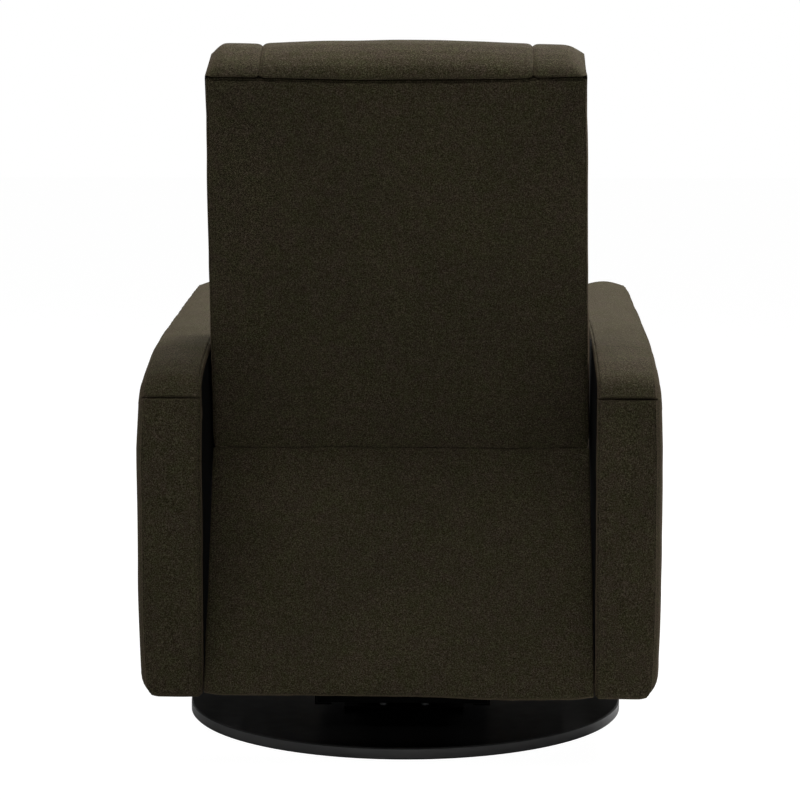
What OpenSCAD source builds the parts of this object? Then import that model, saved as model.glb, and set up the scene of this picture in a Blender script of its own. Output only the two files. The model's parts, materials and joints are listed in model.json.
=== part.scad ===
// Swivel rocker with a reclining back and a folding footrest, in millimetres.
// The origin is the centre of the disc's underside, on the floor. +Z is up, the chair faces -Y,
// and left is the sitter's left, +X.

/* [Body] */
// Width over the two arms
overall_w = 776; // [736:1:836]
// Height of the upholstered body's lower edge above the floor
body_z = 116; // [112:1:128]
// Gap between pieces that sit against each other without being one
seat_gap = 0.3; // [0.2:0.05:0.5]

/* [Disc base] */
// Radius of the floor disc
disc_r = 347; // [320:1:370]
// Thickness of the floor disc
disc_t = 18; // [15:0.5:20]
// Rounding of the disc's two edges
disc_edge = 2; // [1:0.5:4]
// Distance of the anti-slip ring's middle from the disc's rim
ring_inset = 37; // [32:1:120]
// Width of the anti-slip ring
ring_w = 20; // [10:1:30]
// Thickness of the anti-slip ring
ring_t = 2.5; // [1.5:0.5:5]

/* [Swivel bearing] */
// Thickness of the two swivel plates
plate_t = 3; // [2.5:0.5:3.5]
// Side of the lower swivel plate
low_plate_w = 190; // [184:1:240]
// Radius of the ball race
race_r = 62; // [58:1:64]
// Radial width of a race ring
race_w = 24; // [20:1:26]
// Height of a race ring
race_h = 9.5; // [9:0.5:10]
// Gap between the two race rings
race_gap = 6; // [5:0.5:7]
// Radius of a ball
ball_r = 8; // [7.5:0.1:8.2]
// Play of the balls in their races
ball_play = 0.15; // [0.1:0.05:0.3]
// Radius of the king bolt's shank
king_r = 10; // [8:0.5:12]
// Radius of the king bolt's hexagonal head, over the corners
king_head_r = 19; // [17:0.5:22]
// Height of the king bolt's head
king_head_h = 9; // [7:0.5:11]
// Radius of the washer under the king bolt's head
washer_r = 24; // [23:0.5:28]
// Thickness of that washer
washer_t = 3; // [2:0.5:4]
// Depth of the king bolt in the disc
king_depth = 11; // [8:0.5:12]
// Screws that hold the lower plate, all round
screw_count = 8; // [4:1:8]
// Radius of a disc screw's shank
screw_r = 3; // [2.5:0.5:4]
// Radius of a disc screw's head
screw_head_r = 6; // [5:0.5:7]
// Height of a disc screw's head
screw_head_h = 3; // [2:0.5:4]
// Depth of a disc screw in the disc
screw_depth = 11; // [8:0.5:12]

/* [Stand] */
// Width of the steel stand
stand_w = 272; // [260:1:300]
// Length of the steel stand, front to rear
stand_l = 400; // [380:1:420]
// Height of the stand's channels
stand_h = 36; // [30:1:38]
// Depth of a channel
channel_d = 26; // [20:1:28]
// Wall of a channel
channel_t = 3; // [2:0.5:4]
// Length of the upper swivel plate, front to rear
up_plate_l = 290; // [280:1:310]

/* [Rocker] */
// Distance of the rocker pin behind the swivel's axis
pin_y = 20; // [10:1:30]
// Height of the rocker pin above the stand's foot
pin_h = 39; // [36:1:40]
// Radius of the rocker pin
pin_r = 8; // [6:0.5:9]
// Running fit of a shaft in its hole, on the radius
run_fit = 0.05; // [0.03:0.01:0.08]
// Inner face of a rocker bracket from the middle
ear_x = 92; // [86:1:96]
// Thickness of a rocker bracket
ear_t = 6; // [5:0.5:8]
// Radius of the eye of a rocker bracket and of a hanger
ear_r = 19; // [16:0.5:20]
// Length of a rocker bracket's foot, inward
ear_foot = 26; // [20:1:30]
// Wall of a carriage bush
bush_t = 3; // [2:0.5:4]
// Thickness of the carriage plate
carriage_t = 6; // [4:0.5:6]
// Half the length of the carriage plate, from the pin
carriage_hl = 140; // [132:1:150]
// Distance of the springs before and behind the pin
spring_y = 100; // [90:1:104]
// Distance of the springs from the middle
spring_x = 52; // [45:1:56]
// Radius of a spring, to the middle of its wire
spring_r = 20; // [16:0.5:22]
// Radius of the spring wire
spring_wire_r = 3; // [2.5:0.25:3.25]
// Curls of a spring
spring_curls = 5; // [4:1:6]
// Side of the square cross tubes
tube_w = 25; // [20:1:26]
// Wall of the square cross tubes
tube_t = 2; // [1.5:0.5:3]

/* [Mechanism plates] */
// Thickness of a side plate
side_t = 3; // [2.5:0.5:4]
// Outer face of a side plate from the arm's inner face
side_inset = 30; // [28:1:34]
// Front edge of the side plates
side_front_y = -306; // [-308:1:-304]
// Rear edge of the side plates
side_rear_y = 232; // [226:1:236]
// Height of the side plates
side_h = 220; // [219:1:226]
// Radius of a lightening hole
light_r = 32; // [20:1:36]
// Thickness of the uprights that carry the back
upright_t = 4; // [3:0.5:5]
// Half width of an upright
upright_r = 13; // [10:1:15]
// Radius of a pivot stud
stud_r = 5; // [4:0.5:5.5]
// Radius of a stud's head
stud_head_r = 8; // [7:0.5:9]
// Height of a stud's or a rivet's head
head_h = 2.5; // [2:0.25:3]

/* [Footrest linkage] */
// Pivot to pivot length of a footrest bar
bar_l = 200; // [192:1:200]
// Half width of a bar
bar_r = 10; // [8:0.5:10.5]
// Thickness of a bar
bar_t = 4; // [3:0.5:4.5]
// Gap between neighbouring layers of the linkage
layer_gap = 0.6; // [0.4:0.1:0.8]
// Angle of the bars above the horizontal, folded
stow_a = 80; // [79:0.5:81]
// Angle of the bars above the horizontal, footrest out
open_a = 14; // [12:0.5:18]
// Fixed pivot in front of the swivel's axis
foot_y = 286; // [284:1:288]
// Height of the fixed pivot above the body's lower edge
foot_h = 206; // [204:1:208]
// Radius of a rivet
rivet_r = 4; // [3:0.25:4.25]
// Radius of a rivet's head
rivet_head_r = 7; // [6:0.5:8]
// Radius of the torque tube
torque_r = 9; // [8.5:0.5:10]
// Wall of the torque tube
torque_t = 2; // [1.5:0.25:2.5]

/* [Footrest] */
// Distance of the footrest board in front of its pivot
board_off = 12.5; // [12:0.5:14]
// Thickness of the footrest board
board_t = 12; // [9:1:15]
// Thickness of the footrest pad at its edges
foot_pad_t = 50; // [40:1:60]
// Crown of the footrest pad
foot_crown = 12; // [6:1:16]
// Top of the footrest above its pivot
foot_top = 16; // [12:1:18]
// Lower edge of the footrest above the body's lower edge
foot_low = 6; // [4:1:20]
// Gap between the footrest and each arm
foot_side = 5; // [4:1:10]

/* [Seat] */
// Width of the spacers between the wooden seat box and the side plates
spacer_w = 20; // [18:1:26]
// Thickness of the wooden rails
rail_t = 22; // [18:1:24]
// Height of the wooden rails
rail_h = 83; // [75:1:90]
// Top of the wooden rails above the body's lower edge
rail_top = 229; // [227:1:232]
// Front face of the front rail
rail_front_y = -363; // [-365:1:-358]
// Radius of the seat springs' wire
sinuous_r = 1.9; // [1.5:0.1:2.2]
// Sideways reach of a seat spring
sinuous_a = 22; // [16:1:26]
// Waves of a seat spring
sinuous_waves = 9; // [6:1:10]
// Seat springs
sinuous_count = 4; // [3:1:5]
// Front of the seat cushion
cushion_front_y = -434; // [-446:1:-416]
// Rear of the seat cushion
cushion_rear_y = 125; // [110:1:126]
// Thickness of the seat cushion at the crown
cushion_t = 131; // [115:1:140]
// Crown of the seat cushion above its edges
cushion_crown = 22; // [10:1:30]
// Gap between the seat cushion and each arm
cushion_side = 9; // [8:1:14]

/* [Arms] */
// Width of an arm at its seam
arm_w = 79; // [70:1:84]
// Crown of the outer side panel
panel_crown = 20; // [13:1:25]
// Rear face of the arms
arm_rear_y = 431; // [425:1:440]
// Length of an arm
arm_l = 816; // [796:1:836]
// Height of an arm
arm_h = 545; // [530:1:560]
// Thickness of the padding round an arm's web
arm_pad = 14; // [10:1:20]
// Thickness of an arm's plywood web
web_t = 18; // [15:1:22]
// Radius of an arm bolt
bolt_r = 4; // [3:0.5:5]
// Radius of an arm bolt's head
bolt_head_r = 8; // [7:0.5:10]

/* [Back] */
// Recline pivot behind the swivel's axis
back_y = 259; // [257:1:261]
// Height of the recline pivot above the body's lower edge
back_h = 350; // [346:1:354]
// Lean of the back when upright
lean_a = 17.2; // [15:0.2:19]
// Radius of the back's rounded lower edge, about the pivot
heel_r = 16; // [15:0.5:16.5]
// Skin that closes the back's lower edge
heel_t = 5; // [4:0.5:5]
// Gap between the back and each arm, at the crease
back_side = 6; // [5:0.5:12]
// Taper of the back on each side, from the crease to its rear top seam
back_taper = 12.5; // [7:0.5:19]
// Height of the rear top seam above the pivot, along the back
back_seam = 578; // [560:1:600]
// Height of the top roll above that seam
roll_h = 36; // [30:1:42]
// Fall of the roll from its middle to the seams of its centre section
roll_drop = 9; // [6:1:12]
// Depth of the padded rear slab
slab_d = 60; // [58:1:64]
// Depth of the front padding at its edges
pillow_d = 70; // [60:1:76]
// Crown of the centre pillow
pillow_crown = 12; // [6:1:18]
// Width of each side section beside the centre pillow
bolster_w = 75.5; // [65:0.5:90]
// Thickness of the back's wooden stiles and rails
stile_t = 22; // [18:1:24]
// Depth of a stile
stile_d = 40; // [36:1:42]
// Height of a back rail
back_rail_h = 60; // [50:1:70]
// Thickness of the lower back panel
low_panel_t = 16; // [12:1:20]

/* [Release] */
// Travel of the release pull
pull_travel = 25; // [20:1:30]
// Thickness of the release pull
pull_t = 4.6; // [4:0.2:5]
// Width of the release pull's grip
pull_w = 70; // [50:1:90]

/* [Hidden] */
$fn = 64;

// Overrun of every cut past the face that it opens
cut = 1;
// Thickness of the slices that a hull joins
slice = 0.02;
steel = "#8d9093";
black = "#161616";
timber = "#b08d5b";
cloth = "#2f2b20";
cloth_light = "#3a3528";

// Middle radius of the anti-slip ring let into the disc's underside
ring_r = disc_r - ring_inset;

// Heights of the swivel's stack
z_low_race = disc_t + plate_t;
z_up_race = z_low_race + race_h + race_gap;
z_up_plate = z_up_race + race_h;
z_stand = z_up_plate + plate_t;
z_ball = z_low_race + race_h + race_gap / 2;
screw_ring_r = low_plate_w / 2 - 1.5 * screw_head_r;

// Rocker
pin_z = z_stand + pin_h;
pin_out = ear_x + ear_t;
hanger_x = ear_x - seat_gap - ear_t;
carriage_z = body_z - carriage_t + tube_t;
carriage_hw = pin_out + screw_head_r;
tube_z = carriage_z + carriage_t;
spring_top_z = carriage_z;

// Planes across the chair, measured from the middle
arm_in_x = overall_w / 2 - panel_crown - arm_w;
seam_x = overall_w / 2 - panel_crown;
side_out_x = arm_in_x - side_inset;
side_in_x = side_out_x - side_t;
layer1_x = side_in_x - layer_gap - bar_t;
layer2_x = layer1_x - layer_gap - bar_t;

// Footrest linkage in the (y, z) plane, folded
foot_z = body_z + foot_h;
fwd = bar_l * cos(stow_a);
drop = bar_l * sin(stow_a);
t0 = [-foot_y, foot_z];
b0 = t0 - [0, drop];
n1_low = t0 - [fwd, drop];
n1_up = t0 - [fwd, 0];
n2_low = n1_up - [fwd, drop];
t2 = t0 - [2 * fwd, 0];
slot_travel = drop - bar_l * sin(open_a);
slot_play = 0.2;

// Seat box
box_hw = side_in_x - spacer_w;
rail_top_z = body_z + rail_top;
rail_low_z = rail_top_z - rail_h;
rear_rail_y = side_rear_y - rail_t;
spacer_l = 40;
spacer_front_y = -220;
spacer_rear_y = 110;
spacer_h = 50;
spacer_top_z = rail_top_z - rail_t;
cushion_low_z = rail_top_z + 2 * sinuous_r + seat_gap;
cushion_hw = arm_in_x - cushion_side;

// Distance between the middles of the side plates' lightening holes
light_pitch = 2.8 * light_r;

// Arm bolts in the (y, z) plane
bolt_h = 75;
bolt_z = body_z + bolt_h;
bolt_ys = [-220, 120];
block_l = 70;
block_h = 80;

// Back, in its own (u, v) plane: u is square to the rear face and rearward, v is up along it
back_low_hw = arm_in_x - back_side;
back_top_hw = back_low_hw - back_taper;
pillow_hw = back_top_hw - bolster_w;
pivot = [back_y, body_z + back_h];
rear_u = heel_r * cos(lean_a);
slab_front_u = rear_u - slab_d;
pillow_rear_u = slab_front_u - seat_gap;
pillow_front_u = pillow_rear_u - pillow_d;
slab_low_v = 24;
pivot_eye_r = heel_r - heel_t - head_h;
upright_foot = [side_rear_y - 1.5 * rail_t, body_z + side_h - 2 * upright_r - rail_t];
upright_knee = pivot - 68 * [cos(30), sin(30)];
upright_rivets = [upright_foot, upright_foot + [0, 1.5 * rail_t]];
stile_low_v = slab_low_v + seat_gap;
stile_top_v = back_seam - stile_t;
bracket_top_v = 170;
bracket_off_u = -23;
bracket_knee_v = 70;
roll_mid_u = rear_u - 73;
bolster_low_v = -25;
pillow_low_v = -40;

// Release pull
pull_x = arm_in_x - 2.5 * seat_gap - pull_t - 1;
pull_y = -90;
pull_low_z = rail_low_z;
pull_top_z = cushion_low_z + cushion_t + 20;
pull_shank_w = 20;
guide_h = 30;
guide_z = rail_low_z + 30;

// A rod along X at a point of the (y, z) plane
module rod(c, x0, x1, r) translate([x0, c[0], c[1]]) rotate([0, 90, 0]) cylinder(h = x1 - x0, r = r);

// A flat shape of the (y, z) plane, made solid from x0 to x1
module slab(x0, x1) translate([x0, 0, 0]) rotate([90, 0, 90]) linear_extrude(x1 - x0) children();

// What it holds, and its mirror image on the other side
module both_sides() {
    children();
    mirror([1, 0, 0]) children();
}

// What it holds, on one side: 1 is left, -1 is right
module on_side(side) mirror([side < 0 ? 1 : 0, 0, 0]) children();

// What it holds, turned from the back's own plane to where the back stands
module in_back() translate([0, pivot[0], pivot[1]]) rotate([-lean_a, 0, 0]) children();

// A strip with round ends between two points, of radius r at p and end_r at q
module strip(p, q, r, end_r) hull() {
    translate(p) circle(r);
    translate(q) circle(end_r);
}

// A C channel along +Y that opens to -X, with its web's outer face at x = 0
module channel(l, h, d, t) {
    rotate([90, 0, 180]) linear_extrude(l) difference() {
        square([d, h]);
        translate([t, t]) square([d - t + cut, h - 2 * t]);
    }
}

function unit(v) = v / norm(v);
function heading(path, i) = unit(path[min(i + 1, len(path) - 1)] - path[max(i - 1, 0)]);
function wire_ring(path, i, r, sides) =
    let (t = heading(path, i), s = unit(cross(t, [0, 0, 1])), n = cross(s, t))
    [for (k = [0:sides - 1]) path[i] + r * (cos(360 * k / sides) * s + sin(360 * k / sides) * n)];
function least_gap(path, apart, r) =
    min([
        for (i = [0:len(path) - 1 - apart], j = [i + apart:len(path) - 1])
            norm(path[i] - path[j])
    ]) - 2 * r;

// One unbroken wire along a path
module wire(path, r, sides) {
    n = len(path);
    points = [for (i = [0:n - 1]) each wire_ring(path, i, r, sides)];
    skin = [for (i = [0:n - 2], k = [0:sides - 1])
        let (a = i * sides + k, b = i * sides + (k + 1) % sides)
        each [[a, b, b + sides], [a, b + sides, a + sides]]];
    last = (n - 1) * sides;
    caps = [for (k = [1:sides - 2]) each [[0, k + 1, k], [last, last + k, last + k + 1]]];
    polyhedron(points, concat(skin, caps));
}

// A closed soft form. Each ring is a row of point pairs, near side and far side, across the form.
module soft(rings) {
    n = len(rings[0]);
    k = len(rings);
    points = [for (ring = rings, pair = ring) each pair];
    near = [for (j = [0:k - 2], i = [0:n - 2])
        let (a = 2 * (j * n + i), b = a + 2, c = a + 2 * n, d = c + 2)
        each [[a, b, d], [a, d, c]]];
    far = [for (j = [0:k - 2], i = [0:n - 2])
        let (a = 2 * (j * n + i) + 1, b = a + 2, c = a + 2 * n, d = c + 2)
        each [[a, d, b], [a, c, d]]];
    ends = [for (j = [0:k - 2], i = [0, n - 1])
        let (a = 2 * (j * n + i), c = a + 2 * n)
        each (i == 0 ? [[a, c, a + 1], [c, c + 1, a + 1]] : [[a, a + 1, c], [c, a + 1, c + 1]])];
    caps = [for (j = [0, k - 1], i = [0:n - 2])
        let (a = 2 * (j * n + i), b = a + 2)
        each (j == 0 ? [[a, a + 1, b], [b, a + 1, b + 1]] : [[a, b, a + 1], [b, b + 1, a + 1]])];
    polyhedron(points, concat(near, far, ends, caps));
}

// 0 at both ends of a stretch and 1 over most of its middle
function swell(s, power) = 1 - pow(abs(2 * s - 1), power);

module base_disc() color(black) difference() {
    rotate_extrude() polygon([
        [0, 0], [disc_r - disc_edge, 0], [disc_r, disc_edge],
        [disc_r, disc_t - disc_edge], [disc_r - disc_edge, disc_t], [0, disc_t]]);
    rotate_extrude() translate([ring_r - ring_w / 2 - seat_gap, -cut])
        square([ring_w + 2 * seat_gap, ring_t + cut]);
    translate([0, 0, disc_t - king_depth - seat_gap])
        cylinder(h = king_depth + seat_gap + cut, r = king_r + run_fit);
    for (i = [0:screw_count - 1]) rotate((i + 1 / 2) * 360 / screw_count)
        translate([screw_ring_r, 0, disc_t - screw_depth - seat_gap])
            cylinder(h = screw_depth + seat_gap + cut, r = screw_r + run_fit);
}

module anti_slip_ring() color("#202020")
    rotate_extrude() translate([ring_r - ring_w / 2, 0]) square([ring_w, ring_t]);

// A ring with a ball groove in its upper face
module race(h, groove_z) difference() {
    rotate_extrude() translate([race_r - race_w / 2, 0]) square([race_w, h]);
    rotate_extrude() translate([race_r, groove_z]) circle(ball_r + ball_play);
}

module swivel_lower_plate() color(black) {
    difference() {
        union() {
            translate([-low_plate_w / 2, -low_plate_w / 2, disc_t])
                cube([low_plate_w, low_plate_w, plate_t]);
            translate([0, 0, z_low_race]) race(race_h, race_h + race_gap / 2);
        }
        translate([0, 0, disc_t - cut]) cylinder(h = plate_t + 2 * cut, r = king_r + run_fit);
        for (i = [0:screw_count - 1]) rotate((i + 1 / 2) * 360 / screw_count)
            translate([screw_ring_r, 0, disc_t - cut])
                cylinder(h = plate_t + 2 * cut, r = screw_r + run_fit);
    }
}

module swivel_balls() {
    count = floor(PI * race_r / (ball_r + ball_play));
    color(steel) for (i = [0:count - 1]) rotate(i * 360 / count)
        translate([race_r, 0, z_ball]) sphere(ball_r);
}

module king_washer() color(steel) translate([0, 0, z_stand + seat_gap]) difference() {
    cylinder(h = washer_t, r = washer_r);
    translate([0, 0, -cut]) cylinder(h = washer_t + 2 * cut, r = king_r + run_fit);
}

module king_bolt() color(steel) {
    head_z = z_stand + seat_gap + washer_t;
    translate([0, 0, disc_t - king_depth]) cylinder(h = head_z - disc_t + king_depth, r = king_r);
    translate([0, 0, head_z]) cylinder(h = king_head_h, r = king_head_r, $fn = 6);
}

module disc_screws() color(steel) for (i = [0:screw_count - 1]) rotate((i + 1 / 2) * 360 / screw_count)
    translate([screw_ring_r, 0, 0]) {
        translate([0, 0, disc_t - screw_depth]) cylinder(h = screw_depth + plate_t, r = screw_r);
        translate([0, 0, disc_t + plate_t]) cylinder(h = screw_head_h, r = screw_head_r);
    }

module swivel_upper_plate() color(black) difference() {
    union() {
        translate([-stand_w / 2, -up_plate_l / 2, z_up_plate]) cube([stand_w, up_plate_l, plate_t]);
        translate([0, 0, z_up_race]) race(race_h, -race_gap / 2);
    }
    translate([0, 0, z_up_plate - cut]) cylinder(h = plate_t + 2 * cut, r = king_r + run_fit);
}

module stand_channel(side) color(black) on_side(side)
    translate([stand_w / 2, -stand_l / 2, z_stand]) channel(stand_l, stand_h, channel_d, channel_t);
module stand_channel_left() stand_channel(1);
module stand_channel_right() stand_channel(-1);

// A beam lies between the webs of the two channels, nested in their flanges
module stand_beam(end) color(black) {
    l = stand_w - 2 * channel_t - 2 * seat_gap;
    h = stand_h - 2 * channel_t - 2 * seat_gap;
    mirror([0, end < 0 ? 1 : 0, 0]) translate([-l / 2, stand_l / 2, z_stand + channel_t + seat_gap])
        rotate([0, 0, 90]) translate([0, -l, 0]) channel(l, h, channel_d, channel_t);
}
module stand_beam_front() stand_beam(-1);
module stand_beam_rear() stand_beam(1);

module rocker_brackets() color(steel) both_sides() difference() {
    union() {
        slab(ear_x, ear_x + ear_t) union() {
            translate([pin_y, pin_z]) circle(ear_r);
            translate([pin_y - ear_r, z_stand]) square([2 * ear_r, pin_z - z_stand]);
        }
        translate([ear_x - ear_foot, pin_y - ear_r, z_stand]) cube([ear_foot + ear_t, 2 * ear_r, plate_t]);
    }
    rod([pin_y, pin_z], ear_x - cut, pin_out + cut, pin_r + run_fit);
}

module rocker_pin() color(steel) {
    rod([pin_y, pin_z], -pin_out - seat_gap, pin_out + seat_gap, pin_r);
    both_sides() rod([pin_y, pin_z], pin_out + seat_gap, pin_out + seat_gap + head_h, pin_r + head_h);
}

function coil_path(c, z0, z1) = let (steps = 8 * spring_curls)
    [for (i = [0:steps]) [
        c[0] + spring_r * cos(45 * i), c[1] + spring_r * sin(45 * i),
        z0 + spring_wire_r + (z1 - z0 - 2 * spring_wire_r) * i / steps]];

module rock_springs(y) color(steel) for (side = [-1, 1]) {
    path = coil_path([side * spring_x, y], z_stand + seat_gap, spring_top_z - seat_gap);
    echo(str("rock spring, least gap ", least_gap(path, 6, spring_wire_r), " mm"));
    wire(path, spring_wire_r, 6);
}
module rock_springs_front() rock_springs(pin_y - spring_y);
module rock_springs_rear() rock_springs(pin_y + spring_y);

module rocker_carriage() color(black)
    translate([-carriage_hw, pin_y - carriage_hl, carriage_z])
        cube([2 * carriage_hw, 2 * carriage_hl, carriage_t]);

module rocker_hangers() color(black) both_sides() slab(hanger_x, hanger_x + ear_t) difference() {
    union() {
        translate([pin_y, pin_z]) circle(ear_r);
        translate([pin_y - ear_r, pin_z]) square([2 * ear_r, carriage_z - pin_z]);
    }
    translate([pin_y, pin_z]) circle(pin_r + run_fit + bush_t);
}

module carriage_bushes() color("#d8d4c8") both_sides() difference() {
    rod([pin_y, pin_z], hanger_x, hanger_x + ear_t, pin_r + bush_t);
    rod([pin_y, pin_z], hanger_x - cut, hanger_x + ear_t + cut, pin_r + run_fit);
}

module cross_tube(y) color(black) translate([0, y, tube_z]) slab(-side_in_x, side_in_x) difference() {
    square(tube_w);
    translate([tube_t, tube_t]) square(tube_w - 2 * tube_t);
}
module cross_tube_front() cross_tube(pin_y - carriage_hl);
module cross_tube_rear() cross_tube(pin_y + carriage_hl - tube_w);

module side_plate(side) color(black) on_side(side) slab(side_in_x, side_out_x) difference() {
    translate([side_front_y, body_z]) square([side_rear_y - side_front_y, side_h]);
    hull() for (z = [b0[1], b0[1] + slot_travel]) translate([b0[0], z]) circle(rivet_r + slot_play);
    translate(t0) circle(stud_r + run_fit);
    for (c = upright_rivets) translate(c) circle(rivet_r + run_fit);
    for (y = bolt_ys) translate([y, bolt_z]) circle(bolt_r + run_fit);
    for (i = [-1.5, -0.5, 0.5]) translate([i * light_pitch, body_z + side_h / 2]) circle(light_r);
    translate([side_rear_y - 1.3 * light_r, body_z + light_r + rail_t]) circle(light_r);
}
module side_plate_left() side_plate(1);
module side_plate_right() side_plate(-1);

module back_uprights() color(black) both_sides() slab(side_out_x, side_out_x + upright_t) difference() {
    union() {
        strip(upright_foot, upright_knee, upright_r, upright_r);
        strip(upright_knee, pivot, upright_r, pivot_eye_r);
    }
    for (c = upright_rivets) translate(c) circle(rivet_r + run_fit);
    translate(pivot) circle(stud_r + run_fit);
}

module cross_rail(y) color(timber) translate([-box_hw, y, rail_low_z]) cube([2 * box_hw, rail_t, rail_h]);
module front_rail() cross_rail(rail_front_y);
module rear_rail() cross_rail(rear_rail_y);

module side_rails() color(timber) both_sides() difference() {
    front = rail_front_y + rail_t;
    translate([box_hw - rail_t, front, rail_low_z]) cube([rail_t, rear_rail_y - front, rail_h]);
    rod(t0, box_hw - rail_t - cut, box_hw + cut, torque_r + 2.5);
}

module seat_spacers() color(steel) both_sides() for (y = [spacer_front_y, spacer_rear_y])
    translate([box_hw, y, spacer_top_z - spacer_h]) cube([side_in_x - box_hw, spacer_l, spacer_h]);

function sinuous_path(x) = let (
    y0 = rail_front_y + rail_t / 2, y1 = rear_rail_y + rail_t / 2, steps = 6 * sinuous_waves)
    [for (i = [0:steps]) [
        x + sinuous_a * sin(60 * i + 30), y0 + (y1 - y0) * i / steps, rail_top_z + sinuous_r]];

module seat_springs() {
    pitch = 2 * (box_hw - rail_t) / (sinuous_count + 1);
    color(steel) for (i = [1:sinuous_count]) {
        path = sinuous_path(i * pitch - box_hw + rail_t);
        echo(str("seat spring, least gap ", least_gap(path, 5, sinuous_r), " mm"));
        wire(path, sinuous_r, 5);
    }
}

// Seat cushion: crowned top, sides drawn in between the corners, front edge rolled under
module seat_cushion() {
    l = cushion_rear_y - cushion_front_y;
    edge_t = cushion_t - cushion_crown;
    across = [0, 0.015, 0.06, 0.15, 0.32, 0.5, 0.68, 0.85, 0.94, 0.985, 1];
    along = [0, 0.012, 0.04, 0.09, 0.18, 0.32, 0.5, 0.68, 0.85, 0.95, 0.985, 1];
    rings = [for (s = across) [for (t = along)
        let (
            side = pow(swell(s, 10), 0.5), front = pow(swell(t, 10), 0.5),
            full = 0.7 + 0.3 * side * front,
            x = (2 * s - 1) * (cushion_hw - cushion_crown / 4 * swell(t, 4)),
            y = cushion_front_y + l * t,
            top = edge_t * full + cushion_crown * swell(s, 2) * swell(t, 2),
            low = edge_t * (1 - full) / 2)
        [[x, y, cushion_low_z + low], [x, y, cushion_low_z + top]]]];
    color(cloth_light) soft(rings);
}

// An arm's side outline, as shares of its length from the rear and of its height
arm_shares = [
    [0, 0.03], [0, 0.811], [0.016, 0.856], [0.05, 0.884], [0.124, 0.917], [0.259, 0.946],
    [0.393, 0.957], [0.553, 0.97], [0.749, 0.982], [0.896, 0.993], [0.957, 0.997],
    [0.984, 0.985], [0.997, 0.956], [1, 0.915], [1, 0.03], [0.98, 0], [0.02, 0]];
module arm_outline() polygon([for (s = arm_shares) [arm_rear_y - s[0] * arm_l, body_z + s[1] * arm_h]]);

module arm_frame(side) color(timber) on_side(side) difference() {
    slab(seam_x - seat_gap - web_t, seam_x - seat_gap) offset(delta = -arm_pad - seat_gap) arm_outline();
    for (y = bolt_ys) rod([y, bolt_z], seam_x - seat_gap - web_t - cut, seam_x, bolt_r + run_fit);
}
module arm_frame_left() arm_frame(1);
module arm_frame_right() arm_frame(-1);

module arm_boxing(side) color(cloth) on_side(side) difference() {
    slab(arm_in_x, seam_x) arm_outline();
    slab(seam_x - 2 * seat_gap - web_t, seam_x + cut) offset(delta = -arm_pad) arm_outline();
    for (y = bolt_ys) rod([y, bolt_z], arm_in_x - cut, seam_x, bolt_r + run_fit);
}
module arm_boxing_left() arm_boxing(1);
module arm_boxing_right() arm_boxing(-1);

// Outer side panel: inset of its outline and share of its crown, from the seam to the middle
panel_shares = [[0, 0], [0.2, 0.35], [1.1, 0.7], [3.5, 0.92], [8, 1]];
module arm_panel(side) color(cloth_light) on_side(side) hull() for (s = panel_shares)
    slab(seam_x + s[1] * (panel_crown - slice), seam_x + s[1] * (panel_crown - slice) + slice)
        offset(delta = -s[0] * panel_crown) arm_outline();
module arm_panel_left() arm_panel(1);
module arm_panel_right() arm_panel(-1);

module arm_spacers() color(timber) both_sides() for (y = bolt_ys) difference() {
    translate([side_out_x, y - block_l / 2, bolt_z - block_h / 2]) cube([side_inset, block_l, block_h]);
    rod([y, bolt_z], side_out_x - cut, arm_in_x + cut, bolt_r + run_fit);
}

module arm_bolts() color(steel) both_sides() for (y = bolt_ys) {
    rod([y, bolt_z], side_in_x - head_h, side_in_x, bolt_head_r);
    rod([y, bolt_z], side_in_x, seam_x - 2 * seat_gap, bolt_r);
}

module pivot_studs() color(steel) both_sides() {
    rod(t0, layer1_x + seat_gap, side_out_x, stud_r);
    rod(t0, side_out_x, side_out_x + head_h, stud_head_r);
    rod(pivot, layer1_x - seat_gap, side_out_x + upright_t, stud_r);
    rod(pivot, layer1_x - seat_gap - head_h, layer1_x - seat_gap, stud_head_r);
    for (c = upright_rivets) {
        rod(c, side_in_x, side_out_x + upright_t, rivet_r);
        rod(c, side_in_x - head_h, side_in_x, rivet_head_r);
    }
}

// Lower back panel: from under the crease down and rearward to the arms' rear face
panel_low = [arm_rear_y, body_z];
crease = pivot + [heel_r, 0];
panel_dir = unit(panel_low - crease);
panel_in = [panel_dir[1], -panel_dir[0]];
panel_start = crease + heel_r / 2 * panel_dir;
panel_top_hw = back_low_hw + 5 * seat_gap;
panel_low_hw = arm_in_x - seat_gap;
panel_corner = 9;
module lower_back_panel() color(cloth) difference() {
    intersection() {
        slab(-panel_low_hw, panel_low_hw) polygon([
            panel_start, panel_low, panel_low + [low_panel_t / panel_in[0], 0],
            panel_start + low_panel_t * panel_in]);
        translate([0, arm_rear_y + cut, 0]) rotate([90, 0, 0]) linear_extrude(arm_rear_y)
            polygon(concat(
                [[-panel_low_hw, panel_low[1]], [panel_low_hw, panel_low[1]]],
                [for (a = [0:15:90])
                    [panel_top_hw, panel_start[1]] + panel_corner * [cos(a) - 1, sin(a) - 1]],
                [for (a = [90:15:180])
                    [-panel_top_hw, panel_start[1]] + panel_corner * [cos(a) + 1, sin(a) - 1]]));
    }
    rod(pivot, -panel_low_hw - cut, panel_low_hw + cut, heel_r + 5 * seat_gap);
}

// The back's rounded lower edge, in its own plane
heel_points = concat(
    [[rear_u, slab_low_v], [rear_u, heel_r * sin(lean_a)]],
    [for (a = [lean_a:-10:-36]) heel_r * [cos(a), sin(a)]],
    [for (a = [-34:10:lean_a]) (heel_r - heel_t) * [cos(a), sin(a)]],
    [[rear_u - heel_t, (heel_r - heel_t) * sin(lean_a)], [rear_u - heel_t, slab_low_v]]);

function back_hw(v) = back_low_hw + (back_top_hw - back_low_hw) * v / back_seam;

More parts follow.
